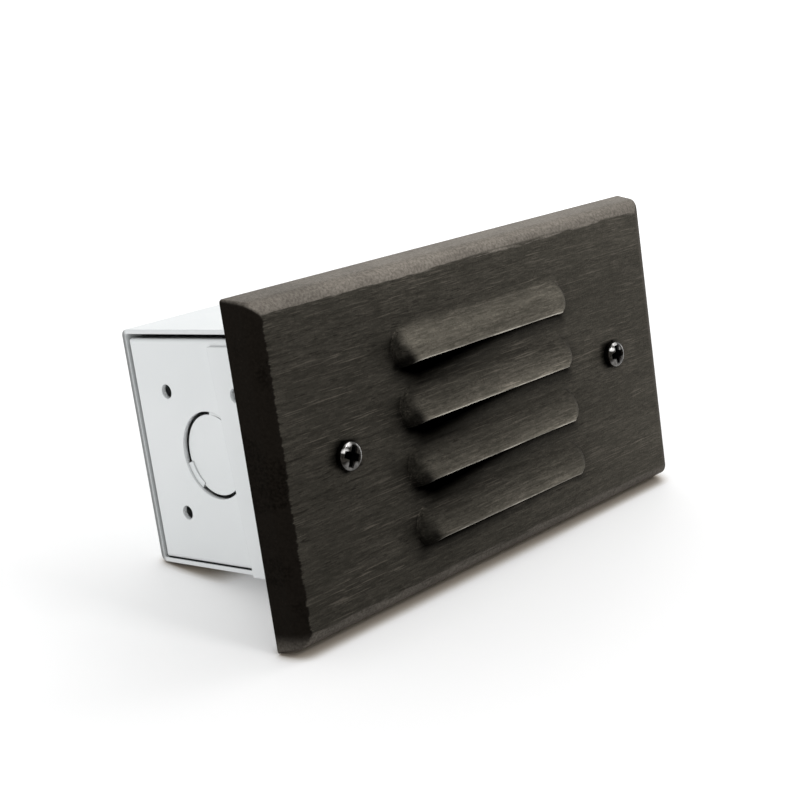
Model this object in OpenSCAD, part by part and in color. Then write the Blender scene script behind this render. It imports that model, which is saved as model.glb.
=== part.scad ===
// Recessed step light: a cast louvred faceplate, screwed to a sheet steel recess box
// that holds a capsule lamp in a ceramic socket.
// The origin is the middle of the faceplate's rear rim, in the plane of the wall.
// +X is to the right seen from the front, -Y comes out of the wall and +Z is up.

/* [Faceplate] */
// Width of the faceplate at the wall
plate_w = 152.4; // [148:0.2:166]
// Height of the faceplate at the wall
plate_h = 82.4; // [80:0.2:96]
// Depth of the faceplate, from the wall to its face
plate_depth = 8; // [7.6:0.1:10]
// Thickness of the face
face_wall = 2.6; // [2.2:0.1:3]
// Width of the rim that rests on the wall
rim_w = 3.6; // [3:0.1:4.4]
// Slope of the faceplate's sides, in degrees
plate_draft = 10.5; // [5:0.5:14]
// Rounding where the sides meet the face
edge_r = 3.8; // [2.4:0.1:4.4]
// Rounding of the four upright corners
plate_corner_r = 1.6; // [0.8:0.1:3]
// Rounding of the corners of the hollow back
cavity_r = 3; // [1:0.1:6]

/* [Louvers] */
// Number of louvers
louver_count = 4; // [2:1:4]
// Distance from one louver lip to the next
louver_pitch = 14.7; // [12.5:0.1:15.6]
// Length of a louver at its foot
louver_l = 66.8; // [60:0.2:68]
// Height of a louver, from its lip up to where it leaves the face
louver_h = 8.6; // [7.6:0.1:9.6]
// How far a lip stands out of the face
louver_out = 3.6; // [3:0.1:4.4]
// Thickness of a louver's hood
louver_wall = 1.8; // [1.4:0.1:2.2]
// Length of the rounded fall at each end of a louver
louver_end_run = 4.4; // [3.6:0.1:6]
// Radius of the bow of a louver's hood
louver_bow_r = 18; // [13:0.5:30]
// Rounding of a louver's two upper corners
louver_corner_r = 5; // [3:0.1:6]
// How far the row of lips lies below the middle of the plate
louver_drop = 5.55; // [4.6:0.05:6.4]
// How far a slot reaches into the face below its lip
slot_drop = 0.4; // [0.2:0.1:1]

/* [Faceplate screws] */
// Distance between the two faceplate screws
screw_spacing = 106; // [104:0.5:109]
// Length of a faceplate screw below its head
screw_len = 25.4; // [16:0.1:38]
// Diameter of a faceplate screw
screw_d = 3.5; // [3:0.1:4]
// Diameter of a faceplate screw's head
screw_head_d = 7; // [6:0.1:8]
// Height of a faceplate screw's head
screw_head_h = 2.2; // [1.8:0.1:2.8]
// Radius of the boss round a faceplate screw
screw_boss_r = 4.2; // [3.2:0.1:4.6]

/* [Lens] */
// Thickness of the glass lens
lens_t = 3; // [2.4:0.1:3.4]
// How far the lens reaches past the louver windows at each end
lens_lap = 6.4; // [5.4:0.1:6.8]
// Gap between the lens and the rim above and below it
lens_edge_gap = 4.6; // [2:0.1:5]
// Rounding of the lens corners
lens_corner_r = 3; // [1:0.1:5]
// Thickness of the lens gasket
gasket_t = 1; // [0.7:0.1:1.2]
// Width of the lens gasket
gasket_w = 4; // [2.4:0.1:5]
// Thickness of a lens clip
clip_t = 0.8; // [0.5:0.1:1]
// Height of a lens clip
clip_h = 48; // [42:0.5:54]
// How far a lens clip reaches over the lens
clip_lap = 2; // [1:0.1:3]
// Distance between the two screws of a lens clip
clip_screw_spacing = 36; // [30:0.5:40]
// Diameter of a lens clip screw
clip_screw_d = 2.8; // [2.4:0.1:3.2]
// Radius of a lens clip boss
clip_boss_r = 2.8; // [2.4:0.1:3]

/* [Recess box] */
// Width of the recess box, outside the bent sheet
box_w = 118; // [116.5:0.5:124]
// Height of the recess box
box_h = 61.6; // [58:0.2:70]
// Depth of the back of the recess box behind the wall plane
box_depth = 60.5; // [55:0.5:80]
// Thickness of the steel sheet
sheet_t = 1.2; // [1:0.1:1.4]
// Outside radius of the bends of the box, the ear brackets and the socket bracket
bend_r = 1.8; // [1.6:0.1:3]
// Gap between an end panel and the sheet above it
panel_top_gap = 1.1; // [0.6:0.1:2]
// Gap between an end panel and the back of the box
panel_back_gap = 0.7; // [0.6:0.1:3]
// Outside radius of an end panel's bends
panel_bend_r = 1.5; // [1.5:0.1:3]
// Length of an end panel's bent flanges
panel_flange = 10; // [6:0.5:12]

/* [Side openings] */
// Diameter of a conduit knockout
knockout_d = 22.3; // [20:0.1:24]
// Distance of a knockout from the back of the box
knockout_back = 28.1; // [24:0.1:30]
// Width of the sheared slots round a knockout
knockout_slot_w = 0.9; // [0.6:0.1:1.2]
// How far a knockout disc is pushed in
knockout_sink = 0.6; // [0.4:0.1:0.8]
// Tilt of a knockout disc, in degrees
knockout_tilt = 2.5; // [0:0.5:3]
// Diameter of the small side holes
side_hole_d = 3.65; // [3:0.05:4.5]
// Distance between the two small holes in a side
side_hole_spacing = 31.5; // [26:0.5:36]
// Distance of the small side holes from the back of the box
side_hole_back = 14.2; // [10:0.1:15]
// How far the side openings lie below the middle of the box
side_drop = 0.7; // [0:0.1:2]

/* [Ear brackets] */
// Length of an ear bracket's leg along its top edge
ear_top_run = 26.8; // [24:0.1:30]
// Length of an ear bracket's leg along its bottom edge
ear_foot_run = 23.6; // [20:0.1:28]
// Gap from the top of the box down to the ear bracket
ear_top_gap = 4; // [1.5:0.1:5]
// Height of the lug that takes the faceplate screw
lug_h = 18; // [12:0.5:22]
// How far the lug reaches past the middle of the screw
lug_reach = 6.5; // [5:0.1:7.5]
// Distance of the ear's small hole from the wall plane
ear_hole_y = 19; // [16:0.1:21]
// Distance of the ear's rivets from the wall plane
ear_rivet_y = 8; // [6:0.1:11]
// Distance between the two rivets of an ear bracket
ear_rivet_spacing = 36; // [28:0.5:44]
// Diameter of a rivet
rivet_d = 3.2; // [2.6:0.1:3.8]
// Diameter of a rivet's head
rivet_head_d = 6; // [5:0.1:7]
// Height of a rivet's head
rivet_head_h = 1.1; // [0.8:0.1:1.5]

/* [Lamp and socket] */
// Distance of the lamp's axis behind the wall plane
lamp_y = 26; // [22:0.5:34]
// Height of the lamp's axis above the middle of the box
lamp_z = 4; // [0:0.5:8]
// Distance of the socket bracket's arm to the left of the middle
bracket_out = 30; // [26:0.5:32]
// Height of the socket bracket
bracket_h = 22; // [21:0.5:26]
// Length of the socket bracket's foot on the back of the box
bracket_foot = 16; // [14:0.5:20]
// Length of the ceramic socket
socket_len = 11; // [9:0.1:13]
// Depth of the ceramic socket from front to back
socket_d = 9.5; // [8:0.1:12]
// Height of the ceramic socket
socket_h = 19; // [18.4:0.1:21]
// Distance between the two socket screws
socket_screw_spacing = 12.7; // [12.2:0.1:13.6]
// Diameter of the lamp's glass
lamp_d = 9; // [8:0.1:9.4]
// Length of the lamp's glass
lamp_len = 25.5; // [22:0.5:30]
// Distance between the lamp's pins
pin_gap = 4; // [3.6:0.1:4.4]
// Diameter of a lamp pin
pin_d = 0.7; // [0.6:0.05:0.9]
// Length of the lamp's pins
pin_len = 7.5; // [6:0.1:8]

/* [Wiring] */
// Diameter of a socket lead over its sleeve
lead_d = 2.6; // [2:0.1:2.8]
// Diameter of a wire connector at its mouth
connector_d = 10; // [9:0.1:10.4]
// Diameter of a wire connector at its closed end
connector_tip_d = 6.4; // [5:0.1:8]
// Length of a wire connector
connector_len = 18; // [14:0.5:18.5]

/* [Hidden] */

// Colours
bronze = "#45413a";
bronze_screw = "#2e2b27";
paint_white = "#e6e9ea";
steel = "#a9adb0";
glass = "#dfe8e8";
rubber = "#2a2a2a";
ceramic = "#efeadf";
brass = "#b8964f";
tungsten = "#6b6b6b";
lead_sleeve = "#e9e6da";
connector_colour = "#c9c9c2";

// Smoothness of round faces
$fn = 64;
// Overrun of every cut past the face that it leaves
over = 1;
// Running clearance round screws, pins and rivets
fit = 0.09;

// Faceplate section: where the sloped side meets the rounded edge
side_out = plate_depth - edge_r * (1 - sin(plate_draft));
side_in = side_out * tan(plate_draft);
round_in = side_in + edge_r * cos(plate_draft);
// Back of the face and the seats behind it, as depths behind the wall plane
face_back_y = face_wall - plate_depth;
lens_front_y = face_back_y + gasket_t;
lens_back_y = lens_front_y + lens_t;
clip_back_y = lens_back_y + clip_t;

// Louver geometry
lip_top_z = (louver_count - 1) * louver_pitch / 2 - louver_drop;
bow_chord = sqrt(pow(louver_h, 2) + pow(louver_out, 2));
bow_reach = sqrt(pow(louver_bow_r, 2) - pow(bow_chord / 2, 2));
bow_t = louver_h / 2 - bow_reach * louver_out / bow_chord;
bow_out = louver_out / 2 - bow_reach * louver_h / bow_chord;
end_r = (pow(louver_end_run, 2) + pow(louver_out, 2)) / (2 * louver_out);
end_x = louver_l / 2 - louver_end_run;

// Lens, which covers the louver windows and fits inside the rim
window_w = louver_l - 2 * louver_wall;
lens_w = window_w + 2 * lens_lap;
lens_h = plate_h - 2 * (rim_w + lens_edge_gap);

// Lens clips
clip_edge = 2.7;
clip_screw_x = lens_w / 2 + clip_edge + clip_boss_r;
clip_screw_len = 5.4;
clip_screw_head_d = 5.2;
clip_screw_head_h = 1.4;
clip_w = clip_screw_x + clip_boss_r + clip_lap - lens_w / 2;

// Faceplate screw heads
screw_rim_share = 0.5;
recess_w = 1.15;
recess_l = 4.6;
recess_depth = 1.5;

// Recess box
box_front_y = sheet_t;
box_floor_z = sheet_t - box_h / 2;
inner_r = bend_r - sheet_t;
back_inner_y = box_depth - sheet_t;
panel_top_z = box_h / 2 - sheet_t - panel_top_gap;
panel_back_y = back_inner_y - panel_back_gap;
panel_h = panel_top_z - box_floor_z;
side_mid_z = -side_drop;
knockout_y = box_depth - knockout_back;
side_hole_y = box_depth - side_hole_back;

// Tabs that still hold a knockout disc: middle angle and width, in degrees
knockout_tabs = [[-33, 39], [120, 56]];
tab_lap = 0.8;

// Ear bracket
lug_inner_x = screw_spacing / 2 - lug_reach;
ear_outer_x = box_w / 2 + sheet_t;
inner_head_share = 0.86;

// Lamp, socket and bracket
arm_x = -bracket_out;
socket_face_x = arm_x + socket_len;
arm_margin = 2;
foot_rivet_spacing = 12;
foot_rivet_share = 0.58;
lamp_air = 0.5;
lamp_x = socket_face_x + lamp_air;
pinch_len = 9;
pinch_w = 6.4;
pinch_t = 3;
glass_wall = 1;
contact_d = 1.8;
contact_tail = 4;
contact_recess = 0.5;
contact_slack = 1;
contact_depth = pin_len - lamp_air + contact_slack;
window_margin = 1.1;
socket_screw_d = 2.8;
socket_head_d = 5.2;
socket_head_h = 1.4;
nut_across = 6.35;
nut_t = 2.4;
nut_sides = 6;
nut_r = nut_across / 2 / cos(180 / nut_sides);
screw_tail = 0.5;
socket_screw_len = socket_len + sheet_t + nut_t + screw_tail;
filament_d = 1.6;
filament_l = 5;
filament_wire_d = 0.35;

// Wiring: the places of the connectors, and the routes of the two leads
connector_x = 27;
connector_y = [20, 38];
connector_z = box_floor_z + connector_d / 2;
lead_sides = 8;
lead_steps = 2;
route_a = [[-34, 26, 6], [-36, 26, 6], [-38, 26, 6], [-42.5, 26, 2], [-44.5, 26, -7], [-44, 24, -17],
    [-39, 22, -24.5], [-27, 20, -27.2], [-10, 18, -27.9], [8, 18.5, -27.6], [18, 20, -25.8],
    [25, 20, -24.6], [27, 20, -24.6], [29, 20, -24.6], [31, 20, -24.6]];
route_b = [[-34, 26, 2], [-36, 26, 2], [-38, 26.5, 1.5], [-41.5, 29, -3], [-42.5, 32, -11], [-40, 35, -19],
    [-34, 37, -25], [-22, 38, -27.6], [-4, 39, -28], [10, 38.5, -27.6], [18, 38, -25.8],
    [25, 38, -24.6], [27, 38, -24.6], [29, 38, -24.6], [31, 38, -24.6]];

// Rectangle with rounded corners, round its middle
module soft_rect(w, h, r) {
    square([w - 2 * r, h], center = true);
    square([w, h - 2 * r], center = true);
    for (sx = [-1, 1], sy = [-1, 1]) {
        translate([sx * (w / 2 - r), sy * (h / 2 - r)]) circle(r = r);
    }
}

// Flat outline of Y and Z drawn out along X, round the middle
module along_x(length) {
    rotate([90, 0, 90]) linear_extrude(length, center = true) children();
}

// Flat outline of X and Z drawn out toward the viewer from the wall plane
module along_y(length) {
    rotate([90, 0, 0]) linear_extrude(length) children();
}

// Round bar along Y from one depth to another
module bar_y(r, from_y, to_y) {
    translate([0, to_y, 0]) rotate([90, 0, 0]) cylinder(r = r, h = to_y - from_y);
}

// Round bar along X from one place to another
module bar_x(r, from_x, to_x) {
    translate([from_x, 0, 0]) rotate([0, 90, 0]) cylinder(r = r, h = to_x - from_x);
}

// Section of the faceplate across a span: sloped sides, rounded edges and a flat face
module plate_section(span) {
    intersection() {
        union() {
            polygon([[-span / 2, 0], [span / 2, 0], [span / 2 - side_in, -side_out],
                [span / 2 - round_in, -plate_depth], [round_in - span / 2, -plate_depth],
                [side_in - span / 2, -side_out]]);
            for (s = [-1, 1]) {
                translate([s * (span / 2 - round_in), edge_r - plate_depth]) circle(r = edge_r);
            }
        }
        translate([-span / 2, -plate_depth]) square([span, plate_depth]);
    }
}

// Solid outer form of the faceplate
module plate_block() {
    intersection() {
        linear_extrude(plate_h, center = true) plate_section(plate_w);
        rotate([0, -90, 0]) linear_extrude(plate_w, center = true) plate_section(plate_h);
        along_y(plate_depth) soft_rect(plate_w, plate_h, plate_corner_r);
    }
}

// One louver hood over the face, its walls drawn in by the inset, its foot reaching down to a depth
module hood(inset, low, deep) {
    half = louver_l / 2 - inset;
    corner = louver_corner_r - inset;
    translate([0, -plate_depth, 0]) intersection() {
        along_x(louver_l) intersection() {
            translate([-bow_out, bow_t]) circle(r = louver_bow_r - inset, $fn = 128);
            translate([inset - louver_out, -low]) square([louver_out - inset + deep, louver_h + low]);
        }
        translate([0, 0, -low]) linear_extrude(louver_h + low) {
            translate([-end_x, inset - louver_out]) square([2 * end_x, louver_out - inset + deep]);
            translate([-half, 0]) square([2 * half, deep]);
            intersection() {
                for (s = [-1, 1]) {
                    translate([s * end_x, end_r - louver_out]) circle(r = end_r - inset);
                }
                translate([-half, inset - louver_out]) square([2 * half, louver_out - inset + deep]);
            }
        }
        translate([0, deep, 0]) along_y(louver_out + deep + over) {
            translate([-half, -low]) square([2 * half, louver_h + low - corner]);
            translate([corner - half, -low]) square([2 * (half - corner), louver_h + low]);
            for (s = [-1, 1]) {
                translate([s * (half - corner), louver_h - corner]) circle(r = corner);
            }
        }
    }
}

// Puts its children at every louver lip
module at_lips() {
    for (i = [0 : louver_count - 1]) {
        translate([0, 0, lip_top_z - i * louver_pitch]) children();
    }
}

// Puts its children at every lens clip screw on one side
module at_clip_screws(side) {
    for (s = [-1, 1]) {
        translate([side * clip_screw_x, 0, s * clip_screw_spacing / 2]) children();
    }
}

module faceplate() {
    color(bronze) difference() {
        union() {
            difference() {
                plate_block();
                translate([0, over, 0]) along_y(over - face_back_y) {
                    soft_rect(plate_w - 2 * rim_w, plate_h - 2 * rim_w, cavity_r);
                }
            }
            at_lips() hood(0, 0, face_wall / 2);
            for (s = [-1, 1]) {
                translate([s * screw_spacing / 2, 0, 0]) {
                    bar_y(screw_boss_r, face_back_y - face_wall / 2, 0);
                }
                at_clip_screws(s) bar_y(clip_boss_r, face_back_y - face_wall / 2, lens_back_y);
            }
        }
        at_lips() hood(louver_wall, slot_drop, face_wall + over);
        for (s = [-1, 1]) {
            translate([s * screw_spacing / 2, 0, 0]) bar_y(screw_d / 2 + fit, -plate_depth - over, over);
            at_clip_screws(s) {
                bar_y(clip_screw_d / 2 + fit, clip_back_y - clip_screw_len - fit, lens_back_y + over);
            }
        }
    }
}

// Screw with a domed head, its underside in the plane y = 0 and its cross recess turned
module pan_screw(d, len, head_d, head_h, turn, cross_l, cross_w, cross_depth) {
    rim_h = head_h * screw_rim_share;
    dome_h = head_h - rim_h;
    dome_r = (pow(head_d / 2, 2) + pow(dome_h, 2)) / (2 * dome_h);
    difference() {
        union() {
            bar_y(d / 2, -rim_h / 2, len);
            rotate([90, 0, 0]) rotate_extrude() {
                square([head_d / 2, rim_h]);
                intersection() {
                    translate([0, head_h - dome_r]) circle(r = dome_r, $fn = 128);
                    translate([0, rim_h]) square([head_d / 2, dome_h]);
                }
            }
        }
        for (a = [0, 90]) {
            rotate([0, turn + a, 0]) translate([-cross_l / 2, -head_h - over, -cross_w / 2]) {
                cube([cross_l, cross_depth + over, cross_w]);
            }
        }
    }
}

// Faceplate screw on one side
module faceplate_screw(side, turn) {
    color(bronze_screw) translate([side * screw_spacing / 2, -plate_depth, 0]) {
        pan_screw(screw_d, screw_len, screw_head_d, screw_head_h, turn, recess_l, recess_w, recess_depth);
    }
}

left_screw_turn = 25;
module faceplate_screw_left() { faceplate_screw(-1, left_screw_turn); }

right_screw_turn = -4;
module faceplate_screw_right() { faceplate_screw(1, right_screw_turn); }

module glass_lens() {
    color(glass) translate([0, lens_back_y, 0]) {
        along_y(lens_t) soft_rect(lens_w, lens_h, lens_corner_r);
    }
}

module lens_gasket() {
    color(rubber) translate([0, lens_front_y, 0]) difference() {
        along_y(gasket_t) soft_rect(lens_w, lens_h, lens_corner_r);
        translate([0, over, 0]) along_y(gasket_t + 2 * over) {
            square([lens_w - 2 * gasket_w, lens_h - 2 * gasket_w], center = true);
        }
    }
}

// Spring strip that holds one end of the lens
module lens_clip(side) {
    color(steel) difference() {
        translate([side * (lens_w / 2 - clip_lap + clip_w / 2), clip_back_y, 0]) {
            along_y(clip_t) soft_rect(clip_w, clip_h, clip_boss_r);
        }
        at_clip_screws(side) bar_y(clip_screw_d / 2 + fit, lens_back_y - over, clip_back_y + over);
    }
}
module lens_clip_left() { lens_clip(-1); }
module lens_clip_right() { lens_clip(1); }

clip_cross_l = 3.4;
clip_cross_w = 0.8;
clip_cross_depth = 0.9;
module lens_clip_screws() {
    color(steel) for (side = [-1, 1]) {
        at_clip_screws(side) translate([0, clip_back_y, 0]) rotate([180, 0, 0]) {
            pan_screw(clip_screw_d, clip_screw_len, clip_screw_head_d, clip_screw_head_h, 0,
                clip_cross_l, clip_cross_w, clip_cross_depth);
        }
    }
}

// Puts its children at each foot rivet of the socket bracket
module at_foot_rivets() {
    for (s = [-1, 1]) {
        translate([arm_x + bracket_foot * foot_rivet_share, 0, lamp_z + s * foot_rivet_spacing / 2]) {
            children();
        }
    }
}

// Side view of the bent box sheet, drawn in by an inset and open at the front
module wrap_outline(inset, r) {
    h = box_h - 2 * inset;
    back = box_depth - inset;
    front = box_front_y - (inset > 0 ? over : 0);
    translate([front, -h / 2]) square([back - r - front, h]);
    translate([front, r - h / 2]) square([back - front, h - 2 * r]);
    for (s = [-1, 1]) {
        translate([back - r, s * (h / 2 - r)]) circle(r = r);
    }
}

module box_wrap() {
    color(paint_white) difference() {
        along_x(box_w) wrap_outline(0, bend_r);
        along_x(box_w + 2 * over) wrap_outline(sheet_t, inner_r);
        at_foot_rivets() bar_y(rivet_d / 2 + fit, back_inner_y - over, box_depth + over);
    }
}

// Rounded block that an end panel is folded round, drawn in by an inset, for the left side
module panel_block(inset, reach, r) {
    front = box_front_y - (inset > 0 ? over : 0);
    back = panel_back_y - inset;
    low = box_floor_z + inset;
    high = panel_top_z - inset;
    out = inset - box_w / 2;
    intersection() {
        translate([out, front, low]) linear_extrude(high - low) {
            square([reach, back - r - front]);
            translate([r, 0]) square([reach - r, back - front]);
            translate([r, back - r - front]) circle(r = r);
        }
        translate([out, back, low]) rotate([90, 0, 0]) linear_extrude(back - front) {
            translate([0, r]) square([reach, high - low - 2 * r]);
            translate([r, 0]) square([reach - r, high - low]);
            translate([r, r]) circle(r = r);
            translate([r, high - low - r]) circle(r = r);
        }
        translate([out + reach / 2, 0, 0]) along_x(reach) {
            translate([front, low]) square([back - r - front, high - low]);
            translate([front, low + r]) square([back - front, high - low - 2 * r]);
            translate([back - r, low + r]) circle(r = r);
            translate([back - r, high - r]) circle(r = r);
        }
    }
}

// Ring sector in the plane of Y and Z, from a middle angle and a width
module ring_sector(r_in, r_out, middle, width) {
    far = 2 * r_out;
    intersection() {
        difference() {
            circle(r = r_out);
            circle(r = r_in);
        }
        polygon([[0, 0], far * [cos(middle - width / 2), sin(middle - width / 2)],
            far * [cos(middle), sin(middle)], far * [cos(middle + width / 2), sin(middle + width / 2)]]);
    }
}

// Knockout disc and its tabs, round the middle of the sheet's outer face, for the left side
module knockout_disc() {
    disc_r = knockout_d / 2 - knockout_slot_w;
    rotate([0, 0, -knockout_tilt]) bar_x(disc_r, knockout_sink, knockout_sink + sheet_t);
    for (tab = knockout_tabs) {
        translate([(knockout_sink + sheet_t) / 2 + knockout_sink / 2, 0, 0]) along_x(sheet_t) {
            ring_sector(disc_r - tab_lap, knockout_d / 2 + tab_lap, tab[0], tab[1]);
        }
    }
}

// Folded end panel with its knockout and small holes, for the left side
module end_panel() {
    outer_x = -box_w / 2;
    color(paint_white) {
        difference() {
            panel_block(0, panel_flange, panel_bend_r);
            panel_block(sheet_t, panel_flange, panel_bend_r - sheet_t);
            translate([0, knockout_y, side_mid_z]) {
                bar_x(knockout_d / 2, outer_x - over, outer_x + sheet_t + over);
            }
            for (s = [-1, 1]) {
                translate([0, side_hole_y, side_mid_z + s * side_hole_spacing / 2]) {
                    bar_x(side_hole_d / 2, outer_x - over, outer_x + sheet_t + over);
                }
                translate([0, ear_rivet_y, s * ear_rivet_spacing / 2]) {
                    bar_x(rivet_d / 2 + fit, outer_x - over, outer_x + sheet_t + over);
                }
            }
        }
        translate([outer_x, knockout_y, side_mid_z]) knockout_disc();
    }
}
module end_panel_left() { end_panel(); }
module end_panel_right() { mirror([1, 0, 0]) end_panel(); }

// Ear bracket for the left side: a leg outside the end panel and a lug behind the faceplate
module ear_bracket() {
    low = -box_h / 2;
    high = box_h / 2 - ear_top_gap;
    color(paint_white) difference() {
        union() {
            translate([-box_w / 2 - sheet_t / 2, 0, 0]) along_x(sheet_t) {
                polygon([[box_front_y, low], [ear_foot_run, low], [ear_top_run, high], [box_front_y, high]]);
            }
            linear_extrude(lug_h, center = true) {
                translate([bend_r - ear_outer_x, 0]) square([ear_outer_x - bend_r - lug_inner_x, sheet_t]);
                translate([-ear_outer_x, bend_r]) square([sheet_t, bend_r]);
                difference() {
                    intersection() {
                        translate([bend_r - ear_outer_x, bend_r]) circle(r = bend_r);
                        translate([-ear_outer_x, 0]) square(bend_r);
                    }
                    translate([-box_w / 2, sheet_t]) square(bend_r);
                }
            }
        }
        translate([-screw_spacing / 2, 0, 0]) bar_y(screw_d / 2 + fit, -over, sheet_t + over);
        translate([0, ear_hole_y, side_mid_z + side_hole_spacing / 2]) {
            bar_x(side_hole_d / 2, -ear_outer_x - over, over - box_w / 2);
        }
        for (s = [-1, 1]) {
            translate([0, ear_rivet_y, s * ear_rivet_spacing / 2]) {
                bar_x(rivet_d / 2 + fit, -ear_outer_x - over, over - box_w / 2);
            }
        }
    }
}
module ear_bracket_left() { ear_bracket(); }
module ear_bracket_right() { mirror([1, 0, 0]) ear_bracket(); }

// Rivet along X with its outer head beyond the low end and its inner head past the grip
module rivet(grip) {
    bar_x(rivet_d / 2, -rivet_head_h / 2, grip + rivet_head_h / 2);
    bar_x(rivet_head_d / 2, -rivet_head_h, 0);
    bar_x(rivet_head_d / 2 * inner_head_share, grip, grip + rivet_head_h);
}

// The two rivets of an ear bracket, for the left side
module ear_rivets() {
    color(steel) for (s = [-1, 1]) {
        translate([-ear_outer_x, ear_rivet_y, s * ear_rivet_spacing / 2]) rivet(2 * sheet_t);
    }
}
module ear_rivets_left() { ear_rivets(); }
module ear_rivets_right() { mirror([1, 0, 0]) ear_rivets(); }

module socket_bracket() {
    arm_front = lamp_y - socket_d / 2 - arm_margin;
    window_h = pin_gap + contact_d + 2 * window_margin;
    window_l = contact_d + 2 * window_margin;
    color(steel) difference() {
        translate([0, 0, lamp_z]) linear_extrude(bracket_h, center = true) {
            translate([arm_x - sheet_t, arm_front]) square([sheet_t, back_inner_y - bend_r - arm_front]);
            translate([arm_x - sheet_t + bend_r, back_inner_y - sheet_t]) {
                square([bracket_foot + sheet_t - bend_r, sheet_t]);
            }
            intersection() {
                translate([arm_x - sheet_t + bend_r, back_inner_y - bend_r]) difference() {
                    circle(r = bend_r);
                    circle(r = inner_r);
                }
                translate([arm_x - sheet_t, back_inner_y - bend_r]) square(bend_r);
            }
        }
        translate([arm_x - sheet_t - over, lamp_y - window_l / 2, lamp_z - window_h / 2]) {
            cube([sheet_t + 2 * over, window_l, window_h]);
        }
        for (s = [-1, 1]) {
            translate([0, lamp_y, lamp_z + s * socket_screw_spacing / 2]) {
                bar_x(socket_screw_d / 2 + fit, arm_x - sheet_t - over, arm_x + over);
            }
        }
        at_foot_rivets() bar_y(rivet_d / 2 + fit, back_inner_y - sheet_t - over, back_inner_y + over);
    }
}

module bracket_rivets() {
    color(steel) at_foot_rivets() translate([0, box_depth, 0]) rotate([0, 0, -90]) rivet(2 * sheet_t);
}

module lamp_socket() {
    color(ceramic) difference() {
        translate([arm_x + socket_len / 2, lamp_y, lamp_z]) along_x(socket_len) {
            soft_rect(socket_d, socket_h, bend_r);
        }
        for (s = [-1, 1]) {
            translate([0, lamp_y, lamp_z + s * pin_gap / 2]) {
                bar_x(contact_d / 2 + fit, arm_x - over, socket_face_x + over);
            }
            translate([0, lamp_y, lamp_z + s * socket_screw_spacing / 2]) {
                bar_x(socket_screw_d / 2 + fit, arm_x - over, socket_face_x + over);
            }
        }
    }
}

module socket_contacts() {
    mouth_x = socket_face_x - contact_recess;
    color(brass) for (s = [-1, 1]) {
        translate([0, lamp_y, lamp_z + s * pin_gap / 2]) difference() {
            bar_x(contact_d / 2, arm_x - contact_tail, mouth_x);
            bar_x(pin_d / 2 + fit, mouth_x - contact_depth, mouth_x + over);
        }
    }
}

module socket_screws() {
    color(steel) for (s = [-1, 1]) {
        translate([socket_face_x, lamp_y, lamp_z + s * socket_screw_spacing / 2]) rotate([0, 0, 90]) {
            pan_screw(socket_screw_d, socket_screw_len, socket_head_d, socket_head_h, 0,
                clip_cross_l, clip_cross_w, clip_cross_depth);
        }
    }
}

module socket_nuts() {
    color(steel) for (s = [-1, 1]) {
        translate([0, lamp_y, lamp_z + s * socket_screw_spacing / 2]) difference() {
            translate([arm_x - sheet_t - nut_t, 0, 0]) rotate([0, 90, 0]) rotate(180 / nut_sides) {
                cylinder(r = nut_r, h = nut_t, $fn = nut_sides);
            }
            bar_x(socket_screw_d / 2 + fit, arm_x - sheet_t - nut_t - over, arm_x);
        }
    }
}

// Round glass of the lamp in section, drawn in by an inset, from the lamp's axis outward
module lamp_outline(inset) {
    r = lamp_d / 2 - inset;
    translate([0, pinch_len + inset]) square([r, lamp_len - pinch_len - lamp_d / 2 - inset]);
    intersection() {
        translate([0, lamp_len - lamp_d / 2]) circle(r = r);
        translate([0, lamp_len - lamp_d / 2]) square(r);
    }
}

module lamp_capsule() {
    color(glass) translate([lamp_x, lamp_y, lamp_z]) {
        difference() {
            rotate([0, 90, 0]) rotate_extrude() lamp_outline(0);
            rotate([0, 90, 0]) rotate_extrude() lamp_outline(glass_wall);
        }
        translate([0, -pinch_t / 2, -pinch_w / 2]) cube([pinch_len + glass_wall / 2, pinch_t, pinch_w]);
    }
}

module lamp_pins() {
    color(steel) for (s = [-1, 1]) {
        translate([lamp_x, lamp_y, lamp_z + s * pin_gap / 2]) bar_x(pin_d / 2, -pin_len, 0);
    }
}

module lamp_filament() {
    foot_x = lamp_x + pinch_len + glass_wall;
    coil_x = foot_x + (lamp_len - pinch_len) / 2 - glass_wall;
    color(tungsten) {
        translate([coil_x, lamp_y, lamp_z - filament_l / 2]) cylinder(r = filament_d / 2, h = filament_l);
        for (s = [-1, 1]) {
            translate([0, lamp_y, lamp_z + s * pin_gap / 2]) bar_x(filament_wire_d / 2, foot_x, coil_x);
        }
    }
}

// Point of a smooth curve through a route, past point i by a share u of the way to the next
function route_point(route, i, u) = let (
    a = route[i],
    b = route[i + 1],
    before = i > 0 ? route[i - 1] : 2 * a - b,
    after = i < len(route) - 2 ? route[i + 2] : 2 * b - a
) (2 * a + (b - before) * u + (2 * before - 5 * a + 4 * b - after) * pow(u, 2)
    + (3 * a - before - 3 * b + after) * pow(u, 3)) / 2;

// Points of a whole route, with a number of steps to each stretch
function curve(route, steps) = [for (i = [0 : len(route) - 2]) for (k = [0 : steps - 1])
    route_point(route, i, k / steps), route[len(route) - 1]];

// Direction of a curve at point i, along X at both ends
function heading(p, i) = let (
    inside = i > 0 && i < len(p) - 1,
    d = inside ? p[i + 1] - p[i - 1] : [i == 0 ? -1 : 1, 0, 0]
) d / norm(d);

// Ring of points round a curve's point i
function ring(p, i, r) = let (
    t = heading(p, i),
    side = cross(t, [0, 1, 0]) / norm(cross(t, [0, 1, 0])),
    up = cross(t, side),
    turn = 360 / lead_sides
) [for (k = [0 : lead_sides - 1]) p[i] + r * (cos(k * turn) * side + sin(k * turn) * up)];

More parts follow.
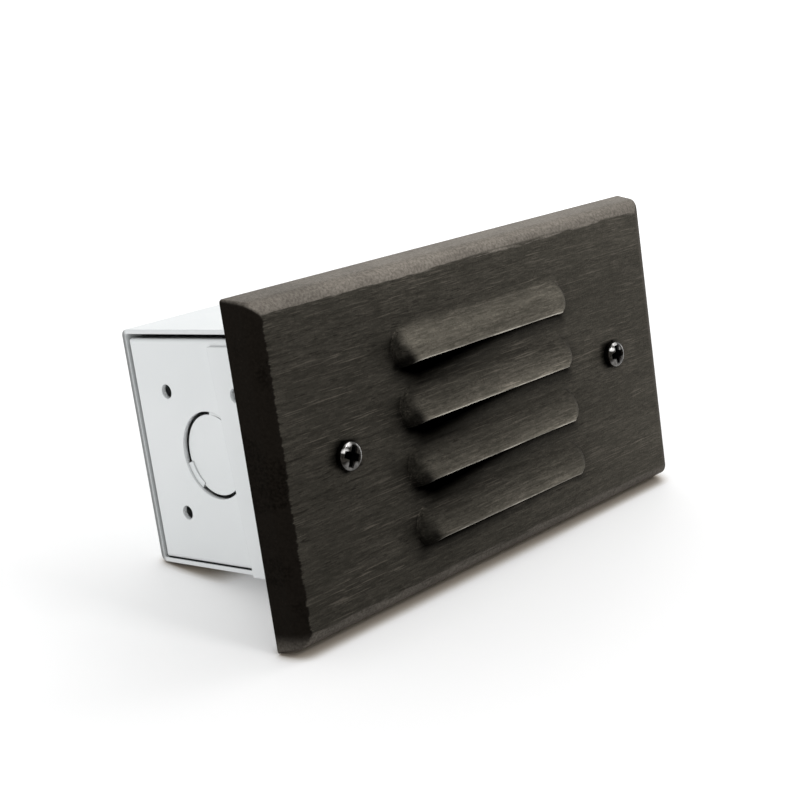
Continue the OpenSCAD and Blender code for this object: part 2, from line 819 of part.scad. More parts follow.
// Tube of a lead along a route
module lead_tube(route) {
    p = curve(route, lead_steps);
    n = lead_sides;
    last = (len(p) - 1) * n;
    points = [for (i = [0 : len(p) - 1]) each ring(p, i, lead_d / 2)];
    walls = [for (i = [0 : len(p) - 2]) for (k = [0 : n - 1]) let (
        a = i * n + k,
        b = i * n + (k + 1) % n
    ) each [[a, a + n, b + n], [a, b + n, b]]];
    caps = [for (k = [1 : n - 2]) each [[0, k, k + 1], [last, last + k + 1, last + k]]];
    color(lead_sleeve) polyhedron(points = points, faces = concat(walls, caps));
}
module lead_a() { lead_tube(route_a); }
module lead_b() { lead_tube(route_b); }

// Wire connector: a cone with a bore at its mouth for the lead
module wire_connector(y) {
    shell_share = 0.6;
    color(connector_colour) translate([0, y, connector_z]) difference() {
        translate([connector_x, 0, 0]) rotate([0, 90, 0]) {
            cylinder(r1 = connector_d / 2, r2 = connector_tip_d / 2, h = connector_len);
        }
        bar_x(lead_d / 2 + fit, connector_x - over, connector_x + connector_len * shell_share);
    }
}
module wire_connector_a() { wire_connector(connector_y[0]); }
module wire_connector_b() { wire_connector(connector_y[1]); }

faceplate();
faceplate_screw_left();
faceplate_screw_right();
glass_lens();
lens_gasket();
lens_clip_left();
lens_clip_right();
lens_clip_screws();
box_wrap();
end_panel_left();
end_panel_right();
ear_bracket_left();
ear_bracket_right();
ear_rivets_left();
ear_rivets_right();
socket_bracket();
bracket_rivets();
lamp_socket();
socket_contacts();
socket_screws();
socket_nuts();
lamp_capsule();
lamp_pins();
lamp_filament();
lead_a();
lead_b();
wire_connector_a();
wire_connector_b();
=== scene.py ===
import logging
import math
from collections.abc import Callable, Sequence
from dataclasses import dataclass, replace
from enum import Enum

import bmesh
import bpy
from mathutils import Matrix, Vector


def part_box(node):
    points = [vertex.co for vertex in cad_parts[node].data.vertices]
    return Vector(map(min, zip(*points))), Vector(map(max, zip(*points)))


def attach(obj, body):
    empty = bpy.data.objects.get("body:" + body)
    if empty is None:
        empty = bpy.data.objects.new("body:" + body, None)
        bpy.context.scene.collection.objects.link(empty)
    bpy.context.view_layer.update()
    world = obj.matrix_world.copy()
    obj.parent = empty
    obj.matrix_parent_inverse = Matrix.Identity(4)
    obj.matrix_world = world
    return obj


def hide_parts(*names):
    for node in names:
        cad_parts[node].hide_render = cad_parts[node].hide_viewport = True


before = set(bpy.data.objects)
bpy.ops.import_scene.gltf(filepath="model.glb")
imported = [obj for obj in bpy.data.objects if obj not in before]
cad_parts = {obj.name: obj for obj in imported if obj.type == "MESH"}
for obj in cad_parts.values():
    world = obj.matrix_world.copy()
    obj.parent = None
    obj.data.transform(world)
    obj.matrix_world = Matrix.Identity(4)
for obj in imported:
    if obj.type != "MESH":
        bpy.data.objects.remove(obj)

log = logging.getLogger("step_light")

MM = 0.001
SPECK = 0.001 * MM
Point = tuple[float, float, float]
Pair = tuple[float, float]
Colour = tuple[float, float, float]
Row = Callable[[float], Pair]
Socket = bpy.types.NodeSocket
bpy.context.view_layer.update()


# Blends between numbers


def smooth_min(a: float, b: float, width: float) -> float:
    """Gives the lower of two heights, with a rounded join.

    Args:
        a: One height.
        b: The other height.
        width: Difference under which the two are blended.

    Returns:
        The blended height.
    """
    near = max(width - abs(a - b), 0.0) / width
    return min(a, b) - near * near * width / 4


def smooth_max(a: float, b: float, width: float) -> float:
    """Gives the higher of two heights, with a rounded join."""
    return -smooth_min(-a, -b, width)


def ease(value: float, low: float, high: float) -> float:
    """Gives 0 below low and 1 above high, with a soft rise between."""
    share = min(max((value - low) / (high - low), 0.0), 1.0)
    return share * share * (3 - 2 * share)


def between(ends: Pair, share: float) -> float:
    """Gives the value at a share of the way from one end to the other."""
    return ends[0] + (ends[1] - ends[0]) * share


def steps(low: float, high: float, count: int) -> list[float]:
    """Gives evenly spaced values from low to high, both included."""
    return [low + (high - low) * i / (count - 1) for i in range(count)]


# Mesh helpers


def object_from(name: str, verts: Sequence[Point], faces: Sequence[Sequence[int]]) -> bpy.types.Object:
    """Makes a mesh object at the frame's origin.

    Args:
        name: Name of the object and its mesh.
        verts: Vertices, in metres in the CAD frame.
        faces: Faces as lists of vertex numbers.

    Returns:
        The new object, linked to the scene.
    """
    mesh = bpy.data.meshes.new(name)
    mesh.from_pydata([tuple(v) for v in verts], [], [list(f) for f in faces])
    work = bmesh.new()
    work.from_mesh(mesh)
    bmesh.ops.recalc_face_normals(work, faces=work.faces)
    work.to_mesh(mesh)
    work.free()
    piece = bpy.data.objects.new(name, mesh)
    bpy.context.scene.collection.objects.link(piece)
    return piece


def joined(name: str, parts: Sequence[bpy.types.Object]) -> bpy.types.Object:
    """Joins mesh objects into the first of them and gives it a name.

    Args:
        name: Name of the joined object.
        parts: Mesh objects, of which the first takes in the others.

    Returns:
        The first object.
    """
    bpy.ops.object.select_all(action="DESELECT")
    for part in parts:
        part.select_set(True)
    bpy.context.view_layer.objects.active = parts[0]
    if len(parts) > 1:
        bpy.ops.object.join()
    parts[0].name = name
    return parts[0]


def smooth(piece: bpy.types.Object, angle: float = 32.0) -> bpy.types.Object:
    """Shades a mesh smooth, with edges sharper than an angle in degrees kept sharp.

    Args:
        piece: Mesh object.
        angle: Edges sharper than this many degrees stay sharp.

    Returns:
        The same object.
    """
    piece.data.polygons.foreach_set("use_smooth", [True] * len(piece.data.polygons))
    piece.data.set_sharp_from_angle(angle=math.radians(angle))
    return piece


def apply_modifiers(piece: bpy.types.Object) -> None:
    """Applies every modifier of an object in order.

    Args:
        piece: Mesh object.
    """
    bpy.ops.object.select_all(action="DESELECT")
    piece.select_set(True)
    bpy.context.view_layer.objects.active = piece
    for modifier in list(piece.modifiers):
        bpy.ops.object.modifier_apply(modifier=modifier.name)


class Cut(Enum):
    """What a boolean does with its tool."""

    REMOVE = "DIFFERENCE"
    ADD = "UNION"


def cut(piece: bpy.types.Object, tool: bpy.types.Object, kind: Cut) -> None:
    """Cuts a solid with a tool, or adds the tool to it, and deletes the tool.

    Args:
        piece: Closed mesh that changes.
        tool: Closed mesh that cuts it or joins it.
        kind: Whether the tool is taken away or added.
    """
    modifier = piece.modifiers.new("cut", "BOOLEAN")
    modifier.operation = kind.value
    modifier.object = tool
    modifier.solver = "EXACT"
    apply_modifiers(piece)
    bpy.data.objects.remove(tool)


def mend(piece: bpy.types.Object) -> None:
    """Takes out the doubled flaps and slivers that cutting and rounding can leave in a solid.

    Args:
        piece: Closed mesh object that was cut or rounded.
    """
    work = bmesh.new()
    work.from_mesh(piece.data)
    bmesh.ops.remove_doubles(work, verts=work.verts, dist=SPECK)
    bmesh.ops.triangulate(work, faces=work.faces)
    bmesh.ops.dissolve_degenerate(work, edges=work.edges, dist=SPECK)
    bmesh.ops.triangulate(work, faces=work.faces)
    meeting: dict[frozenset, list] = {}
    for face in work.faces:
        meeting.setdefault(frozenset(face.verts), []).append(face)
    flaps = [face for twins in meeting.values() if len(twins) > 1 for face in twins]
    bmesh.ops.delete(work, geom=flaps, context="FACES")
    work.to_mesh(piece.data)
    work.free()
    log.info("mended %s, %d flaps out", piece.name, len(flaps))


def loft(name: str, rings: Sequence[Sequence[Point]]) -> bpy.types.Object:
    """Makes a closed solid through rings of equally many points, with flat ends.

    Args:
        name: Name of the piece.
        rings: Loops of points, each as long as the first.

    Returns:
        A closed solid.
    """
    count = len(rings[0])
    faces = [
        (k * count + j, k * count + (j + 1) % count, (k + 1) * count + (j + 1) % count, (k + 1) * count + j)
        for k in range(len(rings) - 1)
        for j in range(count)
    ]
    faces.append(tuple(range(count)))
    faces.append(tuple(range((len(rings) - 1) * count, len(rings) * count)))
    return object_from(name, [p for ring in rings for p in ring], faces)


def lathe(name: str, profile: Sequence[Pair], at: Point, sides: int = 64) -> bpy.types.Object:
    """Turns a profile about a line along Y.

    Args:
        name: Name of the piece.
        profile: Radius and depth along +Y of each ring, from one end to the other.
        at: Point of the axis at depth zero.
        sides: Number of flats round the axis.

    Returns:
        A closed solid.
    """
    turns = [2 * math.pi * k / sides for k in range(sides)]
    x, y, z = at
    rings = [[(x + r * math.cos(a), y + deep, z + r * math.sin(a)) for a in turns] for r, deep in profile]
    return loft(name, rings)


def round_rect(half_w: float, half_h: float, radius: float, points: int = 7) -> list[Pair]:
    """Outline of a rectangle with rounded corners, in X and Z round its middle.

    Args:
        half_w: Half its width.
        half_h: Half its height.
        radius: Radius of its corners.
        points: Points in each corner.

    Returns:
        The outline's points.
    """
    outline = []
    for corner in range(4):
        right, up = ((1, 1), (-1, 1), (-1, -1), (1, -1))[corner]
        middle_x, middle_z = right * (half_w - radius), up * (half_h - radius)
        for a in steps(corner * math.pi / 2, (corner + 1) * math.pi / 2, points):
            outline.append((middle_x + radius * math.cos(a), middle_z + radius * math.sin(a)))
    return outline


def prism(name: str, outline: Sequence[Pair], low_y: float, high_y: float) -> bpy.types.Object:
    """Draws an outline of X and Z out along Y."""
    return loft(name, [[(x, y, z) for x, z in outline] for y in (low_y, high_y)])


def tube(name: str, path: Sequence[Vector], radius: float, sides: int, across: Vector) -> bpy.types.Object:
    """Sweeps a round tube along a path.

    Args:
        name: Name of the piece.
        path: Points of the middle of the tube.
        radius: Radius of the tube.
        sides: Number of flats round it.
        across: A direction that the path never runs along.

    Returns:
        A closed tube.
    """
    rings = []
    for i, point in enumerate(path):
        along = (path[min(i + 1, len(path) - 1)] - path[max(i - 1, 0)]).normalized()
        side = along.cross(across).normalized()
        up = along.cross(side)
        angles = [2 * math.pi * k / sides for k in range(sides)]
        rings.append([tuple(point + radius * (math.cos(a) * side + math.sin(a) * up)) for a in angles])
    return loft(name, rings)


def spline(route: Sequence[Point], count: int) -> list[Vector]:
    """Smooth curve through a route's points.

    Args:
        route: Points in metres.
        count: Steps from each point to the next.

    Returns:
        Points of the curve.
    """
    knots = [Vector(p) for p in route]
    knots = [2 * knots[0] - knots[1], *knots, 2 * knots[-1] - knots[-2]]
    curve = []
    for i in range(1, len(knots) - 2):
        p, a, b, n = knots[i - 1 : i + 3]
        for k in range(count):
            u = k / count
            bend = (2 * p - 5 * a + 4 * b - n) * u**2 + (3 * a - p - 3 * b + n) * u**3
            curve.append((2 * a + (b - p) * u + bend) / 2)
    return [*curve, knots[-2]]


# Shader helpers


class Graph:
    """A node tree with short calls for adding and linking nodes."""

    def __init__(self, tree: bpy.types.NodeTree) -> None:
        """Starts on a node tree."""
        self.tree = tree

    def feed(self, socket: Socket, value: object) -> None:
        """Links an output to a socket, or sets the socket's own value.

        Args:
            socket: Input to feed.
            value: An output, or a plain value.
        """
        if isinstance(value, bpy.types.NodeSocket):
            self.tree.links.new(value, socket)
        else:
            socket.default_value = value

    def add(self, kind: str, inputs: dict | None = None, **settings: object) -> bpy.types.Node:
        """Adds a node.

        Args:
            kind: Blender's name for the node's type.
            inputs: Values or outputs for its sockets, by name or number.
            **settings: Values of the node's own properties.

        Returns:
            The node.
        """
        node = self.tree.nodes.new(kind)
        for name, value in settings.items():
            setattr(node, name, value)
        for key, value in (inputs or {}).items():
            self.feed(node.inputs[key], value)
        return node

    def sum(self, kind: str, a: object, b: object = 0.0, clamp: bool = False) -> Socket:
        """Adds a Math node and gives its output."""
        return self.add("ShaderNodeMath", {0: a, 1: b}, operation=kind, use_clamp=clamp).outputs[0]

    def spread(
        self, value: Socket, low: float, high: float, to_low: float = 0.0, to_high: float = 1.0
    ) -> Socket:
        """Spreads a value from one range to another, clamped and smooth.

        Args:
            value: Output to spread.
            low: Value that gives to_low.
            high: Value that gives to_high.
            to_low: Result at low.
            to_high: Result at high.

        Returns:
            The spread value.
        """
        node = self.add("ShaderNodeMapRange", {0: value, 1: low, 2: high, 3: to_low, 4: to_high})
        node.interpolation_type = "SMOOTHSTEP"
        return node.outputs[0]

    def mix(self, share: object, a: object, b: object) -> Socket:
        """Mixes two colours by a share.

        Args:
            share: Share of the second colour.
            a: First colour, plain or an output.
            b: Second colour, plain or an output.

        Returns:
            The mixed colour.
        """
        node = self.add("ShaderNodeMix", {0: share}, data_type="RGBA")
        self.feed(node.inputs[6], a if isinstance(a, bpy.types.NodeSocket) else (*a, 1.0))
        self.feed(node.inputs[7], b if isinstance(b, bpy.types.NodeSocket) else (*b, 1.0))
        return node.outputs[2]

    def place(self, scale: Point) -> Socket:
        """Gives the object's own coordinates, scaled along each axis."""
        where = self.add("ShaderNodeTexCoord").outputs["Object"]
        return self.add("ShaderNodeMapping", {"Vector": where, "Scale": scale}).outputs[0]

    def facing(self, axis: int) -> Socket:
        """Gives how squarely the surface faces along an axis, from 0 to 1."""
        normal = self.add("ShaderNodeNewGeometry").outputs["Normal"]
        return self.sum("ABSOLUTE", self.add("ShaderNodeSeparateXYZ", {0: normal}).outputs[axis])

    def noise(self, vector: Socket, scale: object, detail: float = 3.0, rough: float = 0.55) -> Socket:
        """Adds fractal noise and gives its value."""
        values = {"Vector": vector, "Scale": scale, "Detail": detail, "Roughness": rough}
        return self.add("ShaderNodeTexNoise", values).outputs[0]

    def attribute(self, name: str) -> Socket:
        """Gives a number stored on the mesh's vertices."""
        return self.add("ShaderNodeAttribute", attribute_name=name).outputs["Fac"]

    def bump(self, height: Socket, strength: float, distance: float, normal: Socket | None = None) -> Socket:
        """Turns a height into a normal, over another normal if there is one.

        Args:
            height: Output that gives the height.
            strength: Strength of the bump, from 0 to 1.
            distance: Depth of the bump in metres.
            normal: Normal under it, if there is one.

        Returns:
            The normal.
        """
        node = self.add("ShaderNodeBump", {"Height": height, "Strength": strength, "Distance": distance})
        if normal is not None:
            self.feed(node.inputs["Normal"], normal)
        return node.outputs[0]


class Effect:
    """A shader node group that several finishes share."""

    def __init__(self, name: str, inputs: dict[str, float], outputs: Sequence[str], build: Callable) -> None:
        """Builds the group once.

        Args:
            name: Name of the group.
            inputs: Its inputs and their first values.
            outputs: Names of its outputs.
            build: Takes the graph and the inputs and gives the outputs in order.
        """
        self.tree = bpy.data.node_groups.new(name, "ShaderNodeTree")
        for key, value in inputs.items():
            socket = self.tree.interface.new_socket(key, in_out="INPUT", socket_type="NodeSocketFloat")
            socket.default_value = value
        for key in outputs:
            self.tree.interface.new_socket(key, in_out="OUTPUT", socket_type="NodeSocketFloat")
        graph = Graph(self.tree)
        entry = graph.add("NodeGroupInput")
        leave = graph.add("NodeGroupOutput")
        made = build(graph, entry.outputs)
        for key, value in zip(outputs, made):
            graph.feed(leave.inputs[key], value)

    def on(self, graph: Graph, **values: object) -> bpy.types.NodeOutputs:
        """Places the group in a material with its own values and gives its outputs.

        Args:
            graph: The graph of the material or the group.
            **values: Values or outputs for the group's inputs, by name.

        Returns:
            The group's outputs.
        """
        node = graph.add("ShaderNodeGroup", node_tree=self.tree)
        for key, value in values.items():
            graph.feed(node.inputs[key], value)
        return node.outputs


def build_streaks(graph: Graph, entry: bpy.types.NodeOutputs) -> tuple[Socket, ...]:
    """Soft and fine brush marks, sparse bright scratches and dark ticks, all along X.

    Args:
        graph: The graph of the material or the group.
        entry: The group's inputs.

    Returns:
        The soft marks, fine marks, scratches and ticks.
    """
    soft = graph.noise(graph.place((60, 900, 900)), entry["Scale"], 4.0, 0.7)
    fine = graph.noise(graph.place((380, 2400, 2400)), entry["Scale"], 3.0, 0.75)
    sparse = graph.noise(graph.place((105, 2900, 2900)), entry["Scale"], 1.0, 0.5)
    ticks = graph.noise(graph.place((260, 2700, 2700)), entry["Scale"], 1.0, 0.5)
    crowd = graph.noise(graph.place((28, 170, 170)), entry["Scale"], 2.0, 0.6)
    crowded = graph.spread(crowd, 0.42, 0.66, 0.12, 1.0)
    bright = graph.sum("MULTIPLY", graph.spread(sparse, 0.58, 0.68), crowded)
    thinned = graph.spread(crowd, 0.6, 0.4, 0.25, 1.0)
    dark = graph.sum("MULTIPLY", graph.spread(ticks, 0.38, 0.29), thinned)
    return graph.spread(soft, 0.36, 0.66), graph.spread(fine, 0.34, 0.7), bright, dark


def build_grain(graph: Graph, entry: bpy.types.NodeOutputs) -> tuple[Socket, Socket]:
    """Sandy grain and the larger cloudiness under it, the same in all directions.

    Args:
        graph: The graph of the material or the group.
        entry: The group's inputs.

    Returns:
        The grain and the cloud.
    """
    fine = graph.noise(graph.place((1, 1, 1)), entry["Scale"], 4.0, 0.65)
    cloud = graph.noise(graph.place((1, 1, 1)), entry["Cloud"], 2.0, 0.5)
    return graph.spread(fine, 0.3, 0.7), graph.spread(cloud, 0.35, 0.65)


def build_edges(graph: Graph, entry: bpy.types.NodeOutputs) -> tuple[Socket]:
    """Mask that is 1 on edges tighter than a radius.

    Args:
        graph: The graph of the material or the group.
        entry: The group's inputs.

    Returns:
        The mask.
    """
    rounded = graph.add("ShaderNodeBevel", {"Radius": entry["Radius"]}, samples=6).outputs[0]
    flat = graph.add("ShaderNodeNewGeometry").outputs["Normal"]
    match = graph.add("ShaderNodeVectorMath", {0: rounded, 1: flat}, operation="DOT_PRODUCT").outputs["Value"]
    return (graph.spread(match, 0.99, 0.8),)


def build_seam_shade(graph: Graph, entry: bpy.types.NodeOutputs) -> tuple[Socket]:
    """Mask that is 1 deep in gaps and seams narrower than a reach, for painting shade there."""
    open_air = graph.add("ShaderNodeAmbientOcclusion", {"Distance": entry["Reach"]}, samples=8).outputs["AO"]
    return (graph.spread(open_air, 0.72, 0.36),)


STREAKS = Effect("brush_streaks", {"Scale": 1.0}, ("Soft", "Fine", "Scratch", "Tick"), build_streaks)
GRAIN = Effect("sand_grain", {"Scale": 900.0, "Cloud": 60.0}, ("Grain", "Cloud"), build_grain)
EDGES = Effect("edge_mask", {"Radius": 0.0003}, ("Edge",), build_edges)
SEAM_SHADE = Effect("seam_shade_mask", {"Reach": 0.004}, ("Seam",), build_seam_shade)


# Finishes


@dataclass(frozen=True)
class Finish:
    """A plain or gently varied finish, which the others build on."""

    name: str
    colour: Colour
    second: Colour
    roughness: float = 0.5
    metallic: float = 0.0
    specular: float = 0.5
    grain: float = 900.0
    cloud: float = 60.0
    relief: float = 0.3
    relief_depth: float = 0.00004
    rough_swing: float = 0.06
    edge_lift: float = 0.0
    edge_radius: float = 0.4 * MM
    edge_share: float = 0.7
    # share of painted shade in narrow gaps
    seam_shade: float = 0.0
    seam_reach: float = 1.8 * MM
    seam_dark: float = 0.03
    upright_share: float = 0.4
    transmission: float = 0.0
    ior: float = 1.5
    coat: float = 0.0
    # shade painted on the cut edge along the back of the box's ends
    back_edge_shade: float = 0.0
    back_run: Pair = (58.5 * MM, 60.0 * MM)
    back_dark: float = 0.3

    def material(self) -> bpy.types.Material:
        """Gives the finish's material, made the first time it is asked for.

        Returns:
            The material.
        """
        made = bpy.data.materials.get(self.name)
        if made is not None:
            return made
        log.info("mixed %s", self.name)
        made = bpy.data.materials.new(self.name)
        made.use_nodes = True
        made.node_tree.nodes.clear()
        graph = Graph(made.node_tree)
        shader = graph.add("ShaderNodeBsdfPrincipled")
        out = graph.add("ShaderNodeOutputMaterial")
        graph.feed(out.inputs[0], shader.outputs[0])
        shader.inputs["Specular IOR Level"].default_value = self.specular
        shader.inputs["Metallic"].default_value = self.metallic
        shader.inputs["Transmission Weight"].default_value = self.transmission
        shader.inputs["IOR"].default_value = self.ior
        shader.inputs["Coat Weight"].default_value = self.coat
        self.dress(graph, shader)
        return made

    def dress(self, graph: Graph, shader: bpy.types.Node) -> None:
        """Feeds the colour, roughness and normal of the shader.

        Args:
            graph: The material's graph.
            shader: Its Principled BSDF.
        """
        marks = GRAIN.on(graph, Scale=self.grain, Cloud=self.cloud)
        colour = graph.mix(marks["Cloud"], self.colour, self.second)
        if self.edge_lift:
            colour = self.edge_wear_and_shade(graph, colour)
        if self.seam_shade:
            colour = self.paint_seam_shade(graph, colour)
        if self.back_edge_shade:
            colour = self.paint_back_edge_shade(graph, colour)
        graph.feed(shader.inputs["Base Color"], colour)
        rough = (self.roughness - self.rough_swing, self.roughness + self.rough_swing)
        graph.feed(shader.inputs["Roughness"], graph.spread(marks["Grain"], 0.0, 1.0, *rough))
        graph.feed(shader.inputs["Normal"], graph.bump(marks["Grain"], self.relief, self.relief_depth))

    def edge_wear_and_shade(self, graph: Graph, colour: Socket) -> Socket:
        """Makes tight edges lighter as wear, or darker where the lift is below zero, as painted shade.

        Args:
            graph: The material's graph.
            colour: Colour so far.

        Returns:
            The new colour.
        """
        edge = EDGES.on(graph, Radius=self.edge_radius)["Edge"]
        edge_tint = tuple(min(c * (1 + self.edge_lift), 1.0) for c in self.colour)
        return graph.mix(graph.sum("MULTIPLY", edge, self.edge_share), colour, edge_tint)

    def paint_seam_shade(self, graph: Graph, colour: Socket) -> Socket:
        """Paints shade into narrow gaps, less so on upright walls.

        Args:
            graph: The material's graph.
            colour: Colour so far.

        Returns:
            The new colour.
        """
        level = graph.spread(graph.facing(2), 0.05, 0.5, self.upright_share * self.seam_shade, self.seam_shade)
        seam_shade = graph.sum("MULTIPLY", SEAM_SHADE.on(graph, Reach=self.seam_reach)["Seam"], level)
        return graph.mix(seam_shade, colour, tuple(c * self.seam_dark for c in self.colour))

    def paint_back_edge_shade(self, graph: Graph, colour: Socket) -> Socket:
        """Paints shade onto the cut edge of the sheet along the back of the box's ends.

        Args:
            graph: The material's graph.
            colour: Colour so far.

        Returns:
            The new colour.
        """
        depth = graph.add("ShaderNodeSeparateXYZ", {0: graph.place((1, 1, 1))}).outputs[1]
        end_on = graph.spread(graph.facing(0), 0.3, 0.9)
        share = graph.sum("MULTIPLY", graph.spread(depth, *self.back_run), end_on)
        share = graph.sum("MULTIPLY", share, self.back_edge_shade)
        return graph.mix(share, colour, tuple(c * self.back_dark for c in self.colour))


@dataclass(frozen=True)
class BrushedBronze(Finish):
    """Dark patina over cast brass, brushed along X where the mesh's brushed value is 1.

    Pairs of shares go from the dark left of the face, where more shade is painted, to its pale right, where
    more light is painted.
    """

    bright: Colour = (0.12, 0.106, 0.088)
    bare_highlight: Colour = (0.7, 0.66, 0.58)
    side_dark: Colour = (0.0035, 0.0028, 0.0022)
    side_light: Colour = (0.0095, 0.0078, 0.0062)
    # Lit copy of the side colour, used where light is painted on the rounded edges.
    lit_side_dark: Colour = (0.135, 0.12, 0.103)
    lit_side_light: Colour = (0.245, 0.222, 0.194)
    grazing: Colour = (0.74, 0.73, 0.71)
    tone_top: float = 5.0
    side_cloud: float = 0.55
    lit_side_shares: Pair = (0.82, 0.94)
    soft_share: float = 0.6
    fine_share: float = 0.2
    scratch_tones: Pair = (0.23, 0.33)
    scratch_shares: Pair = (0.5, 0.32)
    tick_tones: Pair = (0.24, 0.42)
    tick_shares: Pair = (0.7, 0.2)
    cloud_share: float = 0.3
    pit_share: float = 0.4
    ragged: float = 0.22
    border: Pair = (0.28, 0.72)
    black_shade_tones: Pair = (0.02, 0.12)
    sand_rough: float = 0.14

    def cast_side(self, graph: Graph, marks: bpy.types.NodeOutputs) -> Socket:
        """Colour of the sandy cast sides, paler where light is painted on their edges.

        Args:
            graph: The material's graph.
            marks: Outputs of the grain.

        Returns:
            The colour.
        """
        side = graph.mix(marks["Grain"], self.side_dark, self.side_light)
        cloud = graph.spread(marks["Cloud"], 0.35, 0.75, 0.0, self.side_cloud)
        side = graph.mix(cloud, side, self.side_light)
        lit_side = graph.mix(marks["Grain"], self.lit_side_dark, self.lit_side_light)
        patchy = graph.spread(marks["Cloud"], 0.0, 1.0, *self.lit_side_shares)
        return graph.mix(graph.sum("MULTIPLY", graph.attribute("painted_light"), patchy), side, lit_side)

    def brushed_face(
        self, graph: Graph, marks: bpy.types.NodeOutputs, streaks: bpy.types.NodeOutputs, tone: Socket
    ) -> Socket:
        """Colour of the brushed face.

        Args:
            graph: The material's graph.
            marks: Outputs of the grain.
            streaks: Outputs of the brush marks.
            tone: Level of the light and shade painted on the metal.

        Returns:
            The colour, with streaks, scratches, dark ticks, clouds and pits.
        """
        face = graph.mix(graph.sum("MULTIPLY", streaks["Soft"], self.soft_share), self.colour, self.second)
        fine = graph.sum("POWER", streaks["Fine"], 2.0)
        face = graph.mix(graph.sum("MULTIPLY", fine, self.fine_share), face, self.bright)
        scratched = graph.spread(tone, *self.scratch_tones, *self.scratch_shares)
        face = graph.mix(graph.sum("MULTIPLY", streaks["Scratch"], scratched), face, self.bright)
        ticked = graph.spread(tone, *self.tick_tones, *self.tick_shares)
        face = graph.mix(graph.sum("MULTIPLY", streaks["Tick"], ticked), face, self.side_dark)
        face = graph.mix(graph.spread(marks["Cloud"], 0.0, 1.0, self.cloud_share, 0.0), face, self.colour)
        face = graph.mix(graph.spread(marks["Grain"], 0.62, 1.0, 0.0, self.pit_share), face, self.side_light)
        # the face is scaled by the level of light and shade painted on it
        level = graph.sum("MULTIPLY", tone, self.tone_top)
        return graph.add("ShaderNodeVectorMath", {0: face, "Scale": level}, operation="SCALE").outputs[0]

    def dress(self, graph: Graph, shader: bpy.types.Node) -> None:
        """Mixes the sandy cast sides with the brushed face, the highlight painted on its lips and the shade
        painted in its recesses.

        Args:
            graph: The material's graph.
            shader: Its Principled BSDF.
        """
        brushed, bare_highlight, tone = (graph.attribute(name) for name in ("brushed", "bare_highlight", "tone"))
        streaks = STREAKS.on(graph, Scale=1.0)
        marks = GRAIN.on(graph, Scale=self.grain, Cloud=self.cloud)
        ragged = graph.spread(streaks["Soft"], 0.0, 1.0, -self.ragged, self.ragged)
        cover = graph.spread(graph.sum("ADD", brushed, ragged), *self.border)
        cover = graph.sum("MULTIPLY", cover, graph.spread(brushed, 0.0, 0.12))
        face = self.brushed_face(graph, marks, streaks, tone)
        colour = graph.mix(cover, self.cast_side(graph, marks), face)
        # highlight painted on the lips, in the bare metal colour
        highlight_share = graph.sum("MULTIPLY", bare_highlight, graph.spread(streaks["Soft"], 0.1, 0.9, 0.3, 1.0))
        graph.feed(shader.inputs["Base Color"], graph.mix(highlight_share, colour, self.bare_highlight))
        # where the painted shadow is darkest the metal turns matt and black
        shade_map = graph.sum("MULTIPLY", graph.spread(tone, *self.black_shade_tones, 1.0, 0.0), brushed)
        graph.feed(shader.inputs["Metallic"], graph.sum("SUBTRACT", 1.0, shade_map, clamp=True))
        base = graph.spread(streaks["Soft"], 0.0, 1.0, self.roughness - 0.05, self.roughness + 0.08)
        sandy = (self.roughness + self.sand_rough,) * 3
        graph.feed(shader.inputs["Roughness"], graph.mix(cover, sandy, base))
        cast = graph.bump(marks["Grain"], 0.5, self.relief_depth * 1.6)
        graph.feed(shader.inputs["Normal"], graph.bump(streaks["Fine"], self.relief, self.relief_depth, cast))
        shader.inputs["Specular Tint"].default_value = (*self.grazing, 1.0)


@dataclass(frozen=True)
class PlatedScrew(Finish):
    """Shiny dark plating, with highlights painted bright and the recess painted black as shade where the mesh
    says so.
    """

    bare_highlight: Colour = (0.82, 0.8, 0.78)
    black: Colour = (0.0012, 0.0012, 0.0012)
    highlight_shares: Pair = (0.55, 1.0)
    pool_rough: float = 0.5

    def dress(self, graph: Graph, shader: bpy.types.Node) -> None:
        """Adds grain, the patchy highlights painted on the head, and the shade painted black in the recess.

        Args:
            graph: The material's graph.
            shader: Its Principled BSDF.
        """
        marks = GRAIN.on(graph, Scale=self.grain, Cloud=self.cloud)
        colour = graph.mix(marks["Grain"], self.colour, self.second)
        highlight_patches = graph.spread(marks["Cloud"], 0.0, 1.0, *self.highlight_shares)
        colour = graph.mix(graph.sum("MULTIPLY", graph.attribute("painted_light"), highlight_patches), colour, self.bare_highlight)
        # painted shade: the cross recess is drawn black and matt
        pool = graph.attribute("pool")
        graph.feed(shader.inputs["Base Color"], graph.mix(pool, colour, self.black))
        graph.feed(shader.inputs["Metallic"], graph.sum("SUBTRACT", 1.0, pool, clamp=True))
        rough = graph.spread(marks["Grain"], 0.0, 1.0, self.roughness - 0.05, self.roughness + 0.05)
        rough = graph.sum("ADD", rough, graph.sum("MULTIPLY", pool, self.pool_rough), clamp=True)
        graph.feed(shader.inputs["Roughness"], rough)
        graph.feed(shader.inputs["Normal"], graph.bump(marks["Grain"], self.relief, self.relief_depth))


